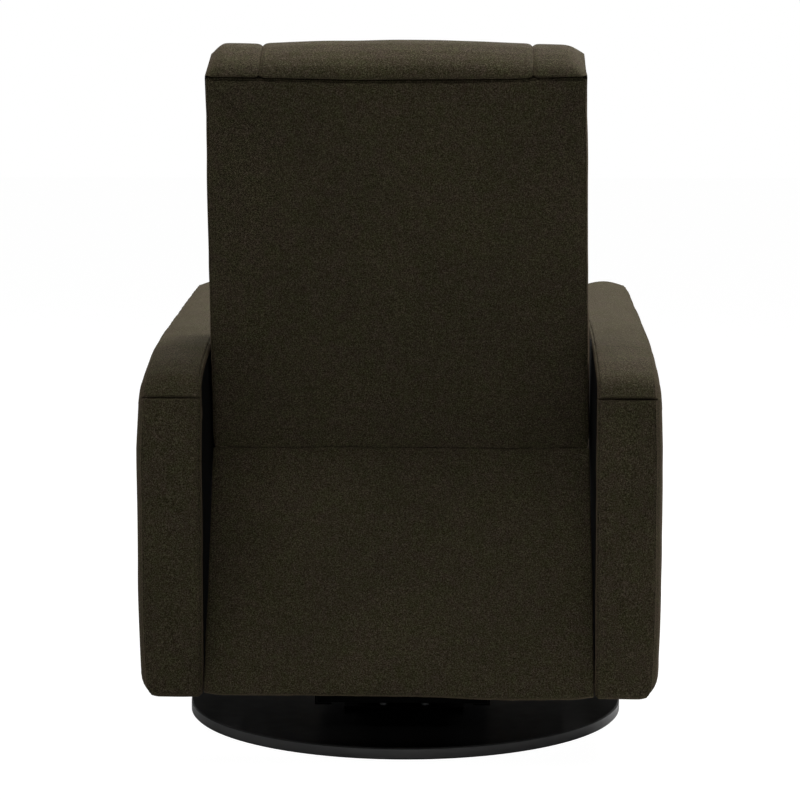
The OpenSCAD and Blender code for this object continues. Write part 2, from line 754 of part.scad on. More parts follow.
module back_cover() color(cloth) in_back() difference() {
    union() {
        hull() for (u = [[slab_front_u, 0], [rear_u - heel_t, 0], [rear_u - slice, heel_t / 2]])
            translate([0, u[0] + slice, 0]) rotate([90, 0, 0]) linear_extrude(slice) polygon([
                [back_hw(slab_low_v) - u[1], slab_low_v], [back_hw(back_seam) - u[1], back_seam - u[1]],
                [u[1] - back_hw(back_seam), back_seam - u[1]], [u[1] - back_hw(slab_low_v), slab_low_v]]);
        slab(-back_hw(0) + heel_t / 2, back_hw(0) - heel_t / 2) polygon(heel_points);
    }
    both_sides() {
        pocket(layer1_x - stile_t - seat_gap, layer1_x + seat_gap, stile_top_v + seat_gap, stile_d);
        pocket(layer1_x, layer1_x + bar_t + seat_gap, bracket_top_v + bar_r + 2 * seat_gap, stile_d + bar_r);
    }
    for (v = [back_rail_v, top_rail_v])
        translate([-layer1_x + stile_t, slab_front_u - cut, v - seat_gap])
            cube([2 * (layer1_x - stile_t), stile_t + cut + seat_gap, back_rail_h + 2 * seat_gap]);
}
// A pocket in the slab's front, from its lower edge up
module pocket(x0, x1, top, d)
    translate([x0, slab_front_u - cut, slab_low_v - cut])
        cube([x1 - x0, d + cut + seat_gap, top - slab_low_v + cut]);

back_rail_v = slab_low_v + stile_t;
top_rail_v = stile_top_v - back_rail_h;

module back_stiles() color(timber) in_back() both_sides()
    translate([layer1_x - stile_t, slab_front_u, stile_low_v])
        cube([stile_t, stile_d, stile_top_v - stile_low_v]);

module back_rails() color(timber) in_back() for (v = [back_rail_v, top_rail_v])
    translate([-layer1_x + stile_t, slab_front_u, v]) cube([2 * (layer1_x - stile_t), stile_t, back_rail_h]);

module back_brackets() color(steel) in_back() both_sides() slab(layer1_x, layer1_x + bar_t) difference() {
    union() {
        strip([0, 0], [bracket_off_u, bracket_knee_v], bar_r, bar_r);
        strip([bracket_off_u, bracket_knee_v], [bracket_off_u, bracket_top_v], bar_r, bar_r);
    }
    circle(stud_r + run_fit);
}

// One section of the back's front padding, with the top roll that it is sewn into.
// Each entry of xs is a place across, a share of the crown there, the roll's height there, and how
// far its rear is drawn in. The roll turns from the front to the rear about roll_v.
roll_v = back_seam - roll_h / 2;
padding_levels = 9;
crown_edge = 0.4;
function padding_row(x, front, crown, low_v, i) = let (
        s = i / padding_levels,
        k = crown * (crown_edge + (1 - crown_edge) * swell(s, 4)) * min(1, 4 * s),
        v = low_v + (roll_v - low_v) * s)
    [[x, front - k, v], [x, pillow_rear_u, v]];
function roll_row(x, front, rear, h, t) =
    [[x, roll_mid_u - (roll_mid_u - front) * cos(t), roll_v + (back_seam + h - roll_v) * sin(t)],
        [x, roll_mid_u + (rear - roll_mid_u) * cos(t), back_seam + seat_gap + h * sin(t)]];
module front_section(xs, low_v, crown) {
    rings = [for (e = xs)
        let (
            x = e[0], c = crown * e[1], h = e[2], rear = rear_u - e[3],
            front = pillow_front_u - crown_edge * c)
        concat(
            [for (i = [0:padding_levels - 1]) padding_row(x, pillow_front_u, c, low_v, i)],
            [[[x, front, roll_v - disc_edge], [x, pillow_rear_u, back_seam + seat_gap]],
                [[x, front, roll_v], [x, rear, back_seam + seat_gap]]],
            [for (t = [15:15:75]) roll_row(x, front, rear, h, t)],
            [[[x, roll_mid_u - heel_t, back_seam + h],
                [x, roll_mid_u + heel_t, back_seam + seat_gap + h]]])];
    in_back() soft(rings);
}

pillow_xs = [for (s = [0, 0.03, 0.12, 0.3, 0.5, 0.7, 0.88, 0.97, 1])
    [(2 * s - 1) * (pillow_hw - seat_gap / 2), swell(s, 3), roll_h - roll_drop * pow(2 * s - 1, 2), 0]];
module back_pillow() color(cloth_light) front_section(pillow_xs, pillow_low_v, pillow_crown);

bolster_in_x = pillow_hw + seat_gap / 2;
roll_corner = roll_h * 0.45;
bolster_xs = [for (s = [0, 0.1, 0.4, 0.7, 0.9, 1])
    [bolster_in_x + s * (back_top_hw - bolster_in_x), swell(s, 3),
        roll_h - roll_drop - roll_corner * pow(s, 6), roll_corner / 2 * pow(s, 6)]];
module back_bolster(side) color(cloth) on_side(side)
    front_section(bolster_xs, bolster_low_v, pillow_crown / 2);
module back_bolster_left() back_bolster(1);
module back_bolster_right() back_bolster(-1);

// A footrest bar in one layer, with a hole at each pivot
module bar(p, q, x0, p_r, q_r) slab(x0, x0 + bar_t) difference() {
    strip(p, q, bar_r, bar_r);
    translate(p) circle(p_r + run_fit);
    translate((p + q) / 2) circle(rivet_r + run_fit);
    if (q_r > 0) translate(q) circle(q_r + run_fit);
}
module links_a() color(steel) both_sides() bar(t0, n1_low, layer1_x, stud_r, rivet_r);
module links_b() color(steel) both_sides() bar(b0, n1_up, layer2_x, rivet_r, rivet_r);
module links_c() color(steel) both_sides() bar(n1_low, t2, layer2_x, rivet_r, rivet_r);
module links_d() color(steel) both_sides() bar(n1_up, n2_low, layer1_x, rivet_r, 0);

module torque_tube() color(steel) difference() {
    rod(t0, -layer1_x, layer1_x, torque_r);
    rod(t0, -layer1_x - cut, layer1_x + cut, torque_r - torque_t);
}

// A rivet through both layers, flush outside, with its head inside
module rivet(c, x1 = layer1_x + bar_t) color(steel) {
    rod(c, layer2_x - seat_gap, x1, rivet_r);
    rod(c, layer2_x - seat_gap - head_h, layer2_x - seat_gap, rivet_head_r);
}
module rivets_a() both_sides() {
    rivet((t0 + n1_low) / 2);
    rivet(n1_low);
}
module rivets_b() both_sides() {
    rivet(n1_up);
    rivet(b0, side_out_x + seat_gap);
    color(steel) rod(b0, side_out_x + seat_gap, side_out_x + seat_gap + head_h, rivet_head_r);
}
module rivets_c() both_sides() {
    rivet((n1_low + t2) / 2);
    rivet(t2);
}

// Footrest, folded: board and pad stand in front of the linkage
board_y = t2[0] - board_off;
foot_hw = arm_in_x - foot_side;
foot_low_z = body_z + foot_low;
foot_top_z = foot_z + foot_top;

module footrest_brackets() color(steel) both_sides() difference() {
    slab(layer1_x, layer1_x + bar_t) union() {
        translate(t2) circle(bar_r);
        translate([board_y, t2[1] - bar_r]) square([board_off, 2 * bar_r]);
        translate([board_y, t2[1] - 4 * bar_r]) square([bar_t, 5 * bar_r]);
    }
    rod(t2, layer1_x - cut, layer1_x + bar_t + cut, rivet_r + run_fit);
}

board_inset = 6;
module footrest_board() color(timber)
    translate([-foot_hw + 2 * board_inset, board_y - board_t, foot_low_z + board_inset])
        cube([2 * foot_hw - 4 * board_inset, board_t, foot_top_z - foot_low_z - 2 * board_inset]);

module footrest_pad() {
    h = foot_top_z - foot_low_z;
    across = [0, 0.01, 0.04, 0.1, 0.25, 0.5, 0.75, 0.9, 0.96, 0.99, 1];
    up = [0, 0.03, 0.1, 0.22, 0.4, 0.6, 0.78, 0.9, 0.97, 1];
    rings = [for (s = across) [for (t = up)
        let (
            full = 0.5 + 0.5 * pow(swell(s, 12), 0.5) * pow(swell(t, 8), 0.5),
            x = (2 * s - 1) * (foot_hw - foot_crown / 4 * swell(t, 4)),
            y = board_y - board_t - seat_gap, z = foot_low_z + h * t)
        [[x, y - foot_pad_t * full - foot_crown * swell(s, 2) * swell(t, 2), z], [x, y, z]]]];
    color(cloth_light) soft(rings);
}

// Release pull in the gap between the seat cushion and the right arm
module release_pull() color(black) on_side(-1) slab(pull_x, pull_x + pull_t) {
    translate([pull_y - pull_shank_w / 2, pull_low_z])
        square([pull_shank_w, pull_top_z - pull_low_z - pull_shank_w]);
    translate([pull_y - pull_w / 2, pull_top_z - 2 * pull_shank_w]) square([pull_w, 2 * pull_shank_w]);
}

module release_guide() color(black) on_side(-1) difference() {
    x0 = pull_x - bar_t;
    translate([x0, pull_y - pull_shank_w, guide_z]) cube([arm_in_x - x0, 2 * pull_shank_w, guide_h]);
    translate([pull_x - seat_gap, pull_y - pull_shank_w / 2 - seat_gap, guide_z - cut])
        cube([pull_t + 2 * seat_gap, pull_shank_w + 2 * seat_gap, guide_h + 2 * cut]);
}

base_disc();
anti_slip_ring();
swivel_lower_plate();
swivel_balls();
king_bolt();
king_washer();
disc_screws();
swivel_upper_plate();
stand_channel_left();
stand_channel_right();
stand_beam_front();
stand_beam_rear();
rocker_brackets();
rocker_pin();
rock_springs_front();
rock_springs_rear();
rocker_carriage();
rocker_hangers();
carriage_bushes();
cross_tube_front();
cross_tube_rear();
side_plate_left();
side_plate_right();
back_uprights();
pivot_studs();
front_rail();
rear_rail();
side_rails();
seat_spacers();
seat_springs();
seat_cushion();
arm_frame_left();
arm_frame_right();
arm_boxing_left();
arm_boxing_right();
arm_panel_left();
arm_panel_right();
arm_spacers();
arm_bolts();
lower_back_panel();
release_guide();
back_brackets();
back_stiles();
back_rails();
back_cover();
back_pillow();
back_bolster_left();
back_bolster_right();
links_a();
torque_tube();
rivets_a();
links_b();
rivets_b();
links_c();
rivets_c();
links_d();
footrest_brackets();
footrest_board();
footrest_pad();
release_pull();
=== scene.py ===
"""A swivel rocker dressed for its photograph: heather cloth over foam, lacquered disc, steel works.

Lengths are in metres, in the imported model's frame: the disc's underside is z = 0, the chair
faces -Y, and the photograph shows it from behind, with +Y towards the camera.
"""

import json
import math

import bmesh
import bpy
import numpy as np
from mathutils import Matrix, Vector, kdtree


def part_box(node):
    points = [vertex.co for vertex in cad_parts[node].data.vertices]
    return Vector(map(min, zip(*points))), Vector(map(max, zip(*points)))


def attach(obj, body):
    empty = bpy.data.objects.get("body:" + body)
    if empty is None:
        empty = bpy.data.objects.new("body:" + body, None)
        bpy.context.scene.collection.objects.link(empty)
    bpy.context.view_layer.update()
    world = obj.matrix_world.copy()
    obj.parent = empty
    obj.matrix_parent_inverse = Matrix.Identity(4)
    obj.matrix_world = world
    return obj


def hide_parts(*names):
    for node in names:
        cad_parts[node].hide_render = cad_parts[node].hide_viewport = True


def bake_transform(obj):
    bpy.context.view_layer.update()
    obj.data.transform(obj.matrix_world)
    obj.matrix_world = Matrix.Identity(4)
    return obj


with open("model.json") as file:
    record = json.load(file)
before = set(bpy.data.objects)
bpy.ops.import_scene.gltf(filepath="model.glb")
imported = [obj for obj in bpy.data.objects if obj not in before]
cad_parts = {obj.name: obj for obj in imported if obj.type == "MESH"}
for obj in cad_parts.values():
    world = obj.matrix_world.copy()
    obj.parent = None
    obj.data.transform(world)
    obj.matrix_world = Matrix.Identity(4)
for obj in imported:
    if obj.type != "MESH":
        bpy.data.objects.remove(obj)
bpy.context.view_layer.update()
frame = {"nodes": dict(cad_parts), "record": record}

# Sizes, as in the part's source

ARM_IN = 0.2878
SEAM_X = 0.375
PANEL_CROWN = 0.0146
ARM_REAR = 0.431
ARM_FRONT = -0.385
BODY_Z = 0.116
PIVOT_Y, PIVOT_Z = 0.259, 0.466
LEAN = math.radians(17.2)
HEEL_R = 0.016
REAR_U = HEEL_R * math.cos(LEAN)
TANGENT_V = HEEL_R * math.sin(LEAN)
SLAB_U = REAR_U - 0.060
SLAB_LOW_V = 0.024
BACK_SEAM = 0.578
BACK_LOW_HW, BACK_TOP_HW = 0.283, 0.2705
PILLOW_HW = 0.195
PILLOW_DEEP = 0.070
ROLL_H = 0.036
ROLL_MID_U = REAR_U - 0.073


# Small tools


def fade(value, start, end):
    """0 at start, 1 at end, even in between and level beyond."""
    return np.clip((value - start) / (end - start), 0, 1)


def lattice(p, seed):
    """Smooth value noise from -1 to 1 at an array of points (..., 3)."""
    cell = np.floor(p).astype(np.int64)
    f = p - cell
    f = f * f * (3 - 2 * f)
    total = np.zeros(p.shape[:-1])
    for corner in range(8):
        d = np.array([corner & 1, corner >> 1 & 1, corner >> 2 & 1])
        c = cell + d
        n = c[..., 0] * 73856093 ^ c[..., 1] * 19349663 ^ c[..., 2] * 83492791 ^ seed * 6542989
        n = (n ^ (n >> 13)) * 1274126177 & 0x7FFFFFFF
        weight = np.prod(np.where(d == 1, f, 1 - f), axis=-1)
        total += weight * (n % 65536 / 32767.5 - 1)
    return total


POINT_GAP = 2e-4
# Distances of the extra points from a cross seam, to either side
CROSS_STEPS = (0.0008, 0.0018, 0.0035, 0.0060)


def outline(corners, step=0.009, marks=()):
    """A closed outline, anticlockwise, with rounded corners: (points, outward normals, arc lengths).

    A corner is (a, b, radius); with radius None it is rounded as far as its neighbours allow.
    Near each mark, a point (a, b), the outline gets extra points for a cross seam.
    """
    points = []
    for i, (a, b, r) in enumerate(corners):
        p = np.array((a, b))
        before = p - np.array(corners[i - 1][:2])
        after = np.array(corners[(i + 1) % len(corners)][:2]) - p
        d0, d1 = before / np.linalg.norm(before), after / np.linalg.norm(after)
        turn = math.atan2(d0[0] * d1[1] - d0[1] * d1[0], float(d0 @ d1))
        half = math.tan(abs(turn) / 2)
        if r is None:
            r = 0.49 * min(np.linalg.norm(before), np.linalg.norm(after)) / max(half, 1e-4)
        start = p - d0 * r * half
        side = np.array((-d0[1], d0[0])) * math.copysign(1, turn)
        pieces = max(1, math.ceil(abs(turn) / math.radians(12)))
        for k in range(pieces + 1):
            angle = abs(turn) * k / pieces
            points.append(start + r * (math.sin(angle) * d0 + (1 - math.cos(angle)) * side))
    points = np.array(points)
    length = np.concatenate([[0], np.cumsum(np.linalg.norm(np.roll(points, -1, 0) - points, axis=1))])
    stations = list(length[:-1])
    for s0, s1 in zip(length[:-1], length[1:]):
        cuts = math.ceil((s1 - s0) / step)
        stations += [s0 + (s1 - s0) * k / cuts for k in range(1, cuts)]
    ring = np.vstack([points, points[:1]])
    for mark in marks:
        near = length[int(np.argmin(np.linalg.norm(points - np.array(mark), axis=1)))]
        stations = [s for s in stations if abs(s - near) > CROSS_STEPS[-1]]
        stations += [near] + [near + way * d for way in (-1, 1) for d in CROSS_STEPS]
    stations = np.array(sorted(s % length[-1] for s in stations))
    keep = np.concatenate([[True], np.diff(stations) > POINT_GAP])
    stations = stations[keep]
    pts = np.stack([np.interp(stations, length, ring[:, k]) for k in (0, 1)], axis=1)
    along = np.roll(pts, -1, 0) - np.roll(pts, 1, 0)
    normals = np.stack([along[:, 1], -along[:, 0]], axis=1)
    normals /= np.linalg.norm(normals, axis=1)[:, None]
    return pts, normals, stations


# Rings over a face, as shares of its outline, and round its edge, in degrees, with the seam at 45
FACE_SCALES = (0.04, 0.12, 0.22, 0.33, 0.44, 0.55, 0.65, 0.74, 0.82, 0.88, 0.925, 0.955, 0.977, 0.992)
EDGE_ANGLES = (0, 12, 24, 33, 39, 42, 45, 48, 51, 57, 66, 78, 90)
SEAM_ANGLE = 45
PUCKER_ANGLE = 28
GROOVE_WIDE = 0.0011


def puff(d, quick_part=0.5, quick=0.008, slow=0.055):
    """Share of a panel's crown at the distance d from its seam."""
    return quick_part * (1 - np.exp(-d / quick)) + (1 - quick_part) * (1 - np.exp(-d / slow))


def boxed(h0, h1, r0, r1, crown0, crown1, belly=0.002, dip=0.0013, rows=7):
    """Stations of a boxed form from the middle of its face at h0 to the middle of its face at h1.

    Each station is (inset, scale, height, crown, nearness to a seam).
    """
    way = math.copysign(1, h1 - h0)
    stations = [(r0, s, h0, -way * crown0, 0) for s in FACE_SCALES]
    for r, h, side in ((r0, h0, 1), (r1, h1, -1)):
        arc = []
        for phi in EDGE_ANGLES:
            a = math.radians(phi)
            near = math.exp(-(((phi - SEAM_ANGLE) / PUCKER_ANGLE) ** 2))
            groove = dip * math.exp(-(((phi - SEAM_ANGLE) / (180 * GROOVE_WIDE / math.pi / r)) ** 2))
            inset = r * (1 - math.sin(a)) + groove * math.sin(a)
            height = h + side * way * (r * (1 - math.cos(a)) + groove * math.cos(a))
            arc.append((inset, 1, height, 0, near))
        if side > 0:
            stations += arc
            h_from, h_to = h0 + way * r0, h1 - way * r1
            stations += [
                (-belly * math.sin(math.pi * t), 1, h_from + (h_to - h_from) * t, 0, 0)
                for t in np.linspace(0, 1, rows + 2)[1:-1]
            ]
        else:
            stations += arc[::-1]
    stations += [(r1, s, h1, way * crown1, 0) for s in FACE_SCALES[::-1]]
    return stations


SMOOTH_ANGLE = math.radians(40)


def skin(name, rings):
    """A closed mesh through rings (K, N, 3), with a fan over each end."""
    k, n = rings.shape[:2]
    verts = rings.reshape(-1, 3).tolist()
    verts += [rings[0].mean(0).tolist(), rings[-1].mean(0).tolist()]
    faces = [
        (j * n + i, j * n + (i + 1) % n, (j + 1) * n + (i + 1) % n, (j + 1) * n + i)
        for j in range(k - 1)
        for i in range(n)
    ]
    faces += [(k * n, (i + 1) % n, i) for i in range(n)]
    faces += [(k * n + 1, (k - 1) * n + i, (k - 1) * n + (i + 1) % n) for i in range(n)]
    return mesh_object(name, verts, faces)


def mesh_object(name, verts, faces):
    """A new shown object from vertices and faces, with its normals outward."""
    mesh = bpy.data.meshes.new(name)
    mesh.from_pydata(verts, [], faces)
    bm = bmesh.new()
    bm.from_mesh(mesh)
    bmesh.ops.recalc_face_normals(bm, faces=bm.faces)
    bm.to_mesh(mesh)
    bm.free()
    mesh.shade_smooth()
    mesh.set_sharp_from_angle(angle=SMOOTH_ANGLE)
    obj = bpy.data.objects.new(name, mesh)
    bpy.context.scene.collection.objects.link(obj)
    return obj


def ring_normals(rings):
    """Unit normals at rings (K, N, 3), to one side; the caller gives the sign."""
    across = np.gradient(rings, axis=0)
    along = np.roll(rings, -1, 1) - np.roll(rings, 1, 1)
    normal = np.cross(along, across)
    return normal / np.maximum(np.linalg.norm(normal, axis=2), 1e-12)[..., None]


CROSS_DEEP, CROSS_WIDE = 0.0120, 0.0016
PUCKERS_PER_M = 75


def pad(name, corners, stations, place, seed, marks=(), pucker=0.0009, ripple=0.0007, fuller=None):
    """An upholstered form: an outline swept through stations, with puckers at its seams.

    place(a, b, h) turns outline coordinates and a height into an (N, 3) array in the row frame.
    fuller(points) multiplies the belly of the boxing at each point of the outline.
    """
    pts, normals, arc = outline(corners, marks=marks)
    swell = fuller(pts)[:, None] if fuller else 1
    middle = (pts.min(0) + pts.max(0)) / 2
    reach = np.abs(np.sum((pts - middle) * normals, axis=1))
    rings, near = [], []
    for inset, scale, height, crown, seam in stations:
        ring = middle + scale * (pts - inset * (swell if inset < 0 else 1) * normals - middle)
        h = height + crown * puff((1 - scale) * reach)
        if scale == 1:
            for mark in marks:
                d = np.linalg.norm(pts - np.array(mark), axis=1)
                ring = ring - (CROSS_DEEP * np.exp(-((d / CROSS_WIDE) ** 2)))[:, None] * normals
        rings.append(place(ring[:, 0], ring[:, 1], h * np.ones(len(ring))))
        near.append(np.full(len(ring), seam))
    rings, near = np.array(rings), np.array(near)
    out = ring_normals(rings)
    body = rings.reshape(-1, 3).mean(0)
    if np.sum(np.sum(out * (rings - body), axis=2)) < 0:
        out = -out
    arcs = np.stack([arc * PUCKERS_PER_M, np.zeros_like(arc), np.full_like(arc, seed * 3.7)], axis=1)
    lines = lattice(arcs, seed) + 0.6 * lattice(arcs * 2.3, seed + 1)
    soft = lattice(rings / 0.09 + seed, seed + 2) + 0.5 * lattice(rings / 0.035, seed + 3)
    rings = rings + out * (pucker * near * lines[None] + ripple * soft)[..., None]
    return skin(name, rings)


def tube(name, path, radius, sides):
    """A round tube along a path of points."""
    along = np.gradient(path, axis=0)
    along /= np.linalg.norm(along, axis=1)[:, None]
    angles = np.linspace(0, 2 * math.pi, sides, endpoint=False)[:, None]
    side = np.cross(along[0], (0.3, 0.2, 0.9))
    rings = []
    for point, way in zip(path, along):
        side = side - way * (side @ way)
        side /= np.linalg.norm(side)
        up = np.cross(way, side)
        rings.append(point + radius * (np.cos(angles) * side + np.sin(angles) * up))
    return skin(name, np.array(rings))


def coords(mesh):
    """A mesh's vertices as an (N, 3) array."""
    co = np.empty(len(mesh.vertices) * 3)
    mesh.vertices.foreach_get("co", co)
    return co.reshape(-1, 3)


VOXEL = 0.006
PRESSURE = 4.0
CLOTH_FRAMES = 20


def inflate(obj, cap, hold=None):
    """Swells a piece as cloth under pressure, then keeps the result in its mesh.

    cap is the furthest that a vertex moves. hold is the share of the swelling that each vertex
    keeps; without it the mesh is made even first.
    """
    bpy.context.view_layer.objects.active = obj
    if hold is None:
        remesh = obj.modifiers.new("Remesh", "REMESH")
        remesh.mode = "VOXEL"
        remesh.voxel_size = VOXEL
        bpy.ops.object.modifier_apply(modifier=remesh.name)
        obj.data.shade_smooth()
    rest = coords(obj.data)
    cloth = obj.modifiers.new("Cloth", "CLOTH")
    cloth.settings.quality = 4
    cloth.settings.mass = 0.3
    cloth.settings.tension_stiffness = 18
    cloth.settings.compression_stiffness = 18
    cloth.settings.shear_stiffness = 8
    cloth.settings.bending_stiffness = 0.6
    cloth.settings.use_pressure = True
    cloth.settings.uniform_pressure_force = PRESSURE
    cloth.settings.effector_weights.gravity = 0
    cloth.point_cache.frame_start = 1
    cloth.point_cache.frame_end = CLOTH_FRAMES
    scene = bpy.context.scene
    for f in range(1, CLOTH_FRAMES + 1):
        scene.frame_set(f)
    grown = obj.evaluated_get(bpy.context.evaluated_depsgraph_get())
    move = coords(grown.data) - rest
    size = np.linalg.norm(move, axis=1)[:, None]
    move = move * np.minimum(1, cap / np.maximum(size, 1e-9))
    rest = rest + move * (1 if hold is None else hold[:, None])
    obj.modifiers.remove(cloth)
    scene.frame_set(1)
    obj.data.vertices.foreach_set("co", rest.ravel())
    obj.data.update()
    subdivide(obj)


def subdivide(obj):
    """One level of subdivision, applied."""
    bpy.context.view_layer.objects.active = obj
    modifier = obj.modifiers.new("Subdivision", "SUBSURF")
    modifier.levels = modifier.render_levels = 1
    bpy.ops.object.modifier_apply(modifier=modifier.name)
    obj.data.shade_smooth()


SEW_STEP = 0.002


def sew(obj, path, depth, width):
    """Pulls a mesh in along a closed path on its surface, as a seam does."""
    path = np.vstack([path, path[:1]])
    fine = []
    for p, q in zip(path[:-1], path[1:]):
        cuts = max(1, math.ceil(np.linalg.norm(q - p) / SEW_STEP))
        fine += [p + (q - p) * k / cuts for k in range(cuts)]
    found = [obj.closest_point_on_mesh(Vector(p))[1] for p in fine]
    tree = kdtree.KDTree(len(found))
    for i, p in enumerate(found):
        tree.insert(p, i)
    tree.balance()
    mesh = obj.data
    moved = coords(mesh)
    normals = np.empty(len(mesh.vertices) * 3)
    mesh.vertices.foreach_get("normal", normals)
    normals = normals.reshape(-1, 3)
    for i, p in enumerate(moved):
        d = tree.find(p)[2]
        if d < 3 * width:
            moved[i] = p - normals[i] * depth * math.exp(-((d / width) ** 2))
    mesh.vertices.foreach_set("co", moved.ravel())
    mesh.update()


# Materials


def new_material(name, roughness, metallic=0.0, specular=0.5):
    """A node material: (material, nodes, link function, principled node)."""
    material = bpy.data.materials.new(name)
    material.use_nodes = True
    nodes, links = material.node_tree.nodes, material.node_tree.links
    shader = nodes["Principled BSDF"]
    shader.inputs["Roughness"].default_value = roughness
    shader.inputs["Metallic"].default_value = metallic
    shader.inputs["Specular IOR Level"].default_value = specular
    return material, nodes, links.new, shader


def add_noise(nodes, link, scale, detail, rough=0.6, stretch=None):
    """A noise texture in the piece's own coordinates."""
    place = nodes.new("ShaderNodeTexCoord")
    texture = nodes.new("ShaderNodeTexNoise")
    texture.inputs["Scale"].default_value = scale
    texture.inputs["Detail"].default_value = detail
    texture.inputs["Roughness"].default_value = rough
    source = place.outputs["Object"]
    if stretch:
        mapping = nodes.new("ShaderNodeMapping")
        mapping.inputs["Scale"].default_value = stretch
        link(source, mapping.inputs["Vector"])
        source = mapping.outputs["Vector"]
    link(source, texture.inputs["Vector"])
    return texture.outputs["Fac"]


def add_ramp(nodes, link, source, stops):
    """A colour ramp on a value; stops are (place, colour)."""
    ramp = nodes.new("ShaderNodeValToRGB")
    while len(ramp.color_ramp.elements) < len(stops):
        ramp.color_ramp.elements.new(0.5)
    for element, (place, colour) in zip(ramp.color_ramp.elements, stops):
        element.position = place
        element.color = (*colour, 1)
    link(source, ramp.inputs["Fac"])
    return ramp.outputs["Color"]


def add_mix(nodes, link, a, b, share, mode="MIX"):
    """Two colours mixed by a share, which is a number or a socket."""
    mix = nodes.new("ShaderNodeMix")
    mix.data_type = "RGBA"
    mix.blend_type = mode
    for socket, value in ((mix.inputs[0], share), (mix.inputs[6], a), (mix.inputs[7], b)):
        if isinstance(value, bpy.types.NodeSocket):
            link(value, socket)
        elif isinstance(value, tuple):
            socket.default_value = (*value, 1)
        else:
            socket.default_value = value
    return mix.outputs[2]


def add_bump(nodes, link, shader, heights):
    """Bumps, each (height socket, strength, distance), one upon the other."""
    normal = None
    for height, strength, distance in heights:
        bump = nodes.new("ShaderNodeBump")
        bump.inputs["Strength"].default_value = strength
        bump.inputs["Distance"].default_value = distance
        link(height, bump.inputs["Height"])
        if normal:
            link(normal, bump.inputs["Normal"])
        normal = bump.outputs["Normal"]
    link(normal, shader.inputs["Normal"])


CLOTH = (0.0205, 0.0172, 0.0093)
LIGHT_YARN = (0.058, 0.052, 0.035)
TIMBER_DARK, TIMBER_MID, TIMBER_LIGHT = (0.24, 0.14, 0.065), (0.42, 0.28, 0.14), (0.52, 0.37, 0.20)


def shade(colour, factor):
    """A colour made darker or lighter."""
    return tuple(c * factor for c in colour)


def grey(value):
    """A colour, or a factor for one, that is the same in all channels."""
    return (value,) * 3


def heather_cloth():
    """Dark olive brown heather weave: dark and light yarns, drifts of green and russet, a soft nap."""
    material, nodes, link, shader = new_material("heather_cloth", 0.95, specular=0.05)
    shader.inputs["Sheen Weight"].default_value = 0.042
    shader.inputs["Sheen Roughness"].default_value = 0.5
    shader.inputs["Sheen Tint"].default_value = (0.95, 0.66, 0.44, 1)
    clumps = add_noise(nodes, link, 560, 3, 0.8)
    yarns = add_noise(nodes, link, 1300, 2, 0.7)
    mottled = add_ramp(
        nodes, link, clumps,
        [(0.34, shade(CLOTH, 0.22)), (0.5, CLOTH), (0.66, LIGHT_YARN)],
    )
    fine = add_ramp(nodes, link, yarns, [(0.3, grey(0.45)), (0.7, grey(1.60))])
    colour = add_mix(nodes, link, mottled, fine, 1.0, "MULTIPLY")
    for scale, stretch, low, high in (
        (105, (1.0, 1.13, 0.9), (1.04, 0.98, 1.00), (0.97, 1.01, 0.90)),
        (31, (0.9, 1.0, 1.2), (1.03, 0.99, 1.04), (0.98, 1.01, 0.94)),
        (7, (1.0, 1.1, 1.0), (0.95, 0.95, 0.96), (1.05, 1.05, 1.04)),
    ):
        drift = add_noise(nodes, link, scale, 2, 0.5, stretch)
        tint = add_ramp(nodes, link, drift, [(0.38, low), (0.62, high)])
        colour = add_mix(nodes, link, colour, tint, 1.0, "MULTIPLY")
    link(colour, shader.inputs["Base Color"])
    weave = nodes.new("ShaderNodeTexVoronoi")
    weave.inputs["Scale"].default_value = 620
    place = nodes.new("ShaderNodeTexCoord")
    link(place.outputs["Object"], weave.inputs["Vector"])
    add_bump(
        nodes, link, shader,
        [(weave.outputs["Distance"], 0.5, 0.0006), (clumps, 0.45, 0.0008)],
    )
    return material


def lacquer():
    """Black matt lacquer over board; the rim is painted a shade lighter, a painted reflection of the white
    floor.
    """
    material, nodes, link, shader = new_material("black_lacquer", 0.4, specular=0.03)
    mist = add_noise(nodes, link, 35, 5)
    face = add_ramp(nodes, link, mist, [(0.3, grey(0.0019)), (0.7, grey(0.0031))])
    # Lighter grey for the upright rim: painted reflection of the white floor
    edge = add_ramp(nodes, link, mist, [(0.3, grey(0.135)), (0.7, grey(0.150))])
    normal = nodes.new("ShaderNodeNewGeometry")
    parts = nodes.new("ShaderNodeSeparateXYZ")
    link(normal.outputs["True Normal"], parts.inputs["Vector"])
    size = nodes.new("ShaderNodeMath")
    size.operation = "ABSOLUTE"
    link(parts.outputs["Z"], size.inputs[0])
    painted_reflection_mask = add_ramp(nodes, link, size.outputs[0], [(0.35, (1, 1, 1)), (0.85, (0, 0, 0))])
    link(add_mix(nodes, link, face, edge, painted_reflection_mask), shader.inputs["Base Color"])
    gloss = add_ramp(nodes, link, mist, [(0.25, grey(0.36)), (0.75, grey(0.42))])
    link(gloss, shader.inputs["Roughness"])
    peel = add_noise(nodes, link, 420, 2)
    add_bump(nodes, link, shader, [(peel, 0.06, 0.0003)])
    return material


def powder_coat():
    """Black powder coat on steel, with a fine orange peel."""
    material, nodes, link, shader = new_material("black_powder_coat", 0.5, specular=0.03)
    mist = add_noise(nodes, link, 60, 4)
    colour = add_ramp(nodes, link, mist, [(0.3, grey(0.0006)), (0.7, grey(0.0012))])
    link(colour, shader.inputs["Base Color"])
    peel = add_noise(nodes, link, 900, 2)
    add_bump(nodes, link, shader, [(peel, 0.15, 0.0003)])
    return material


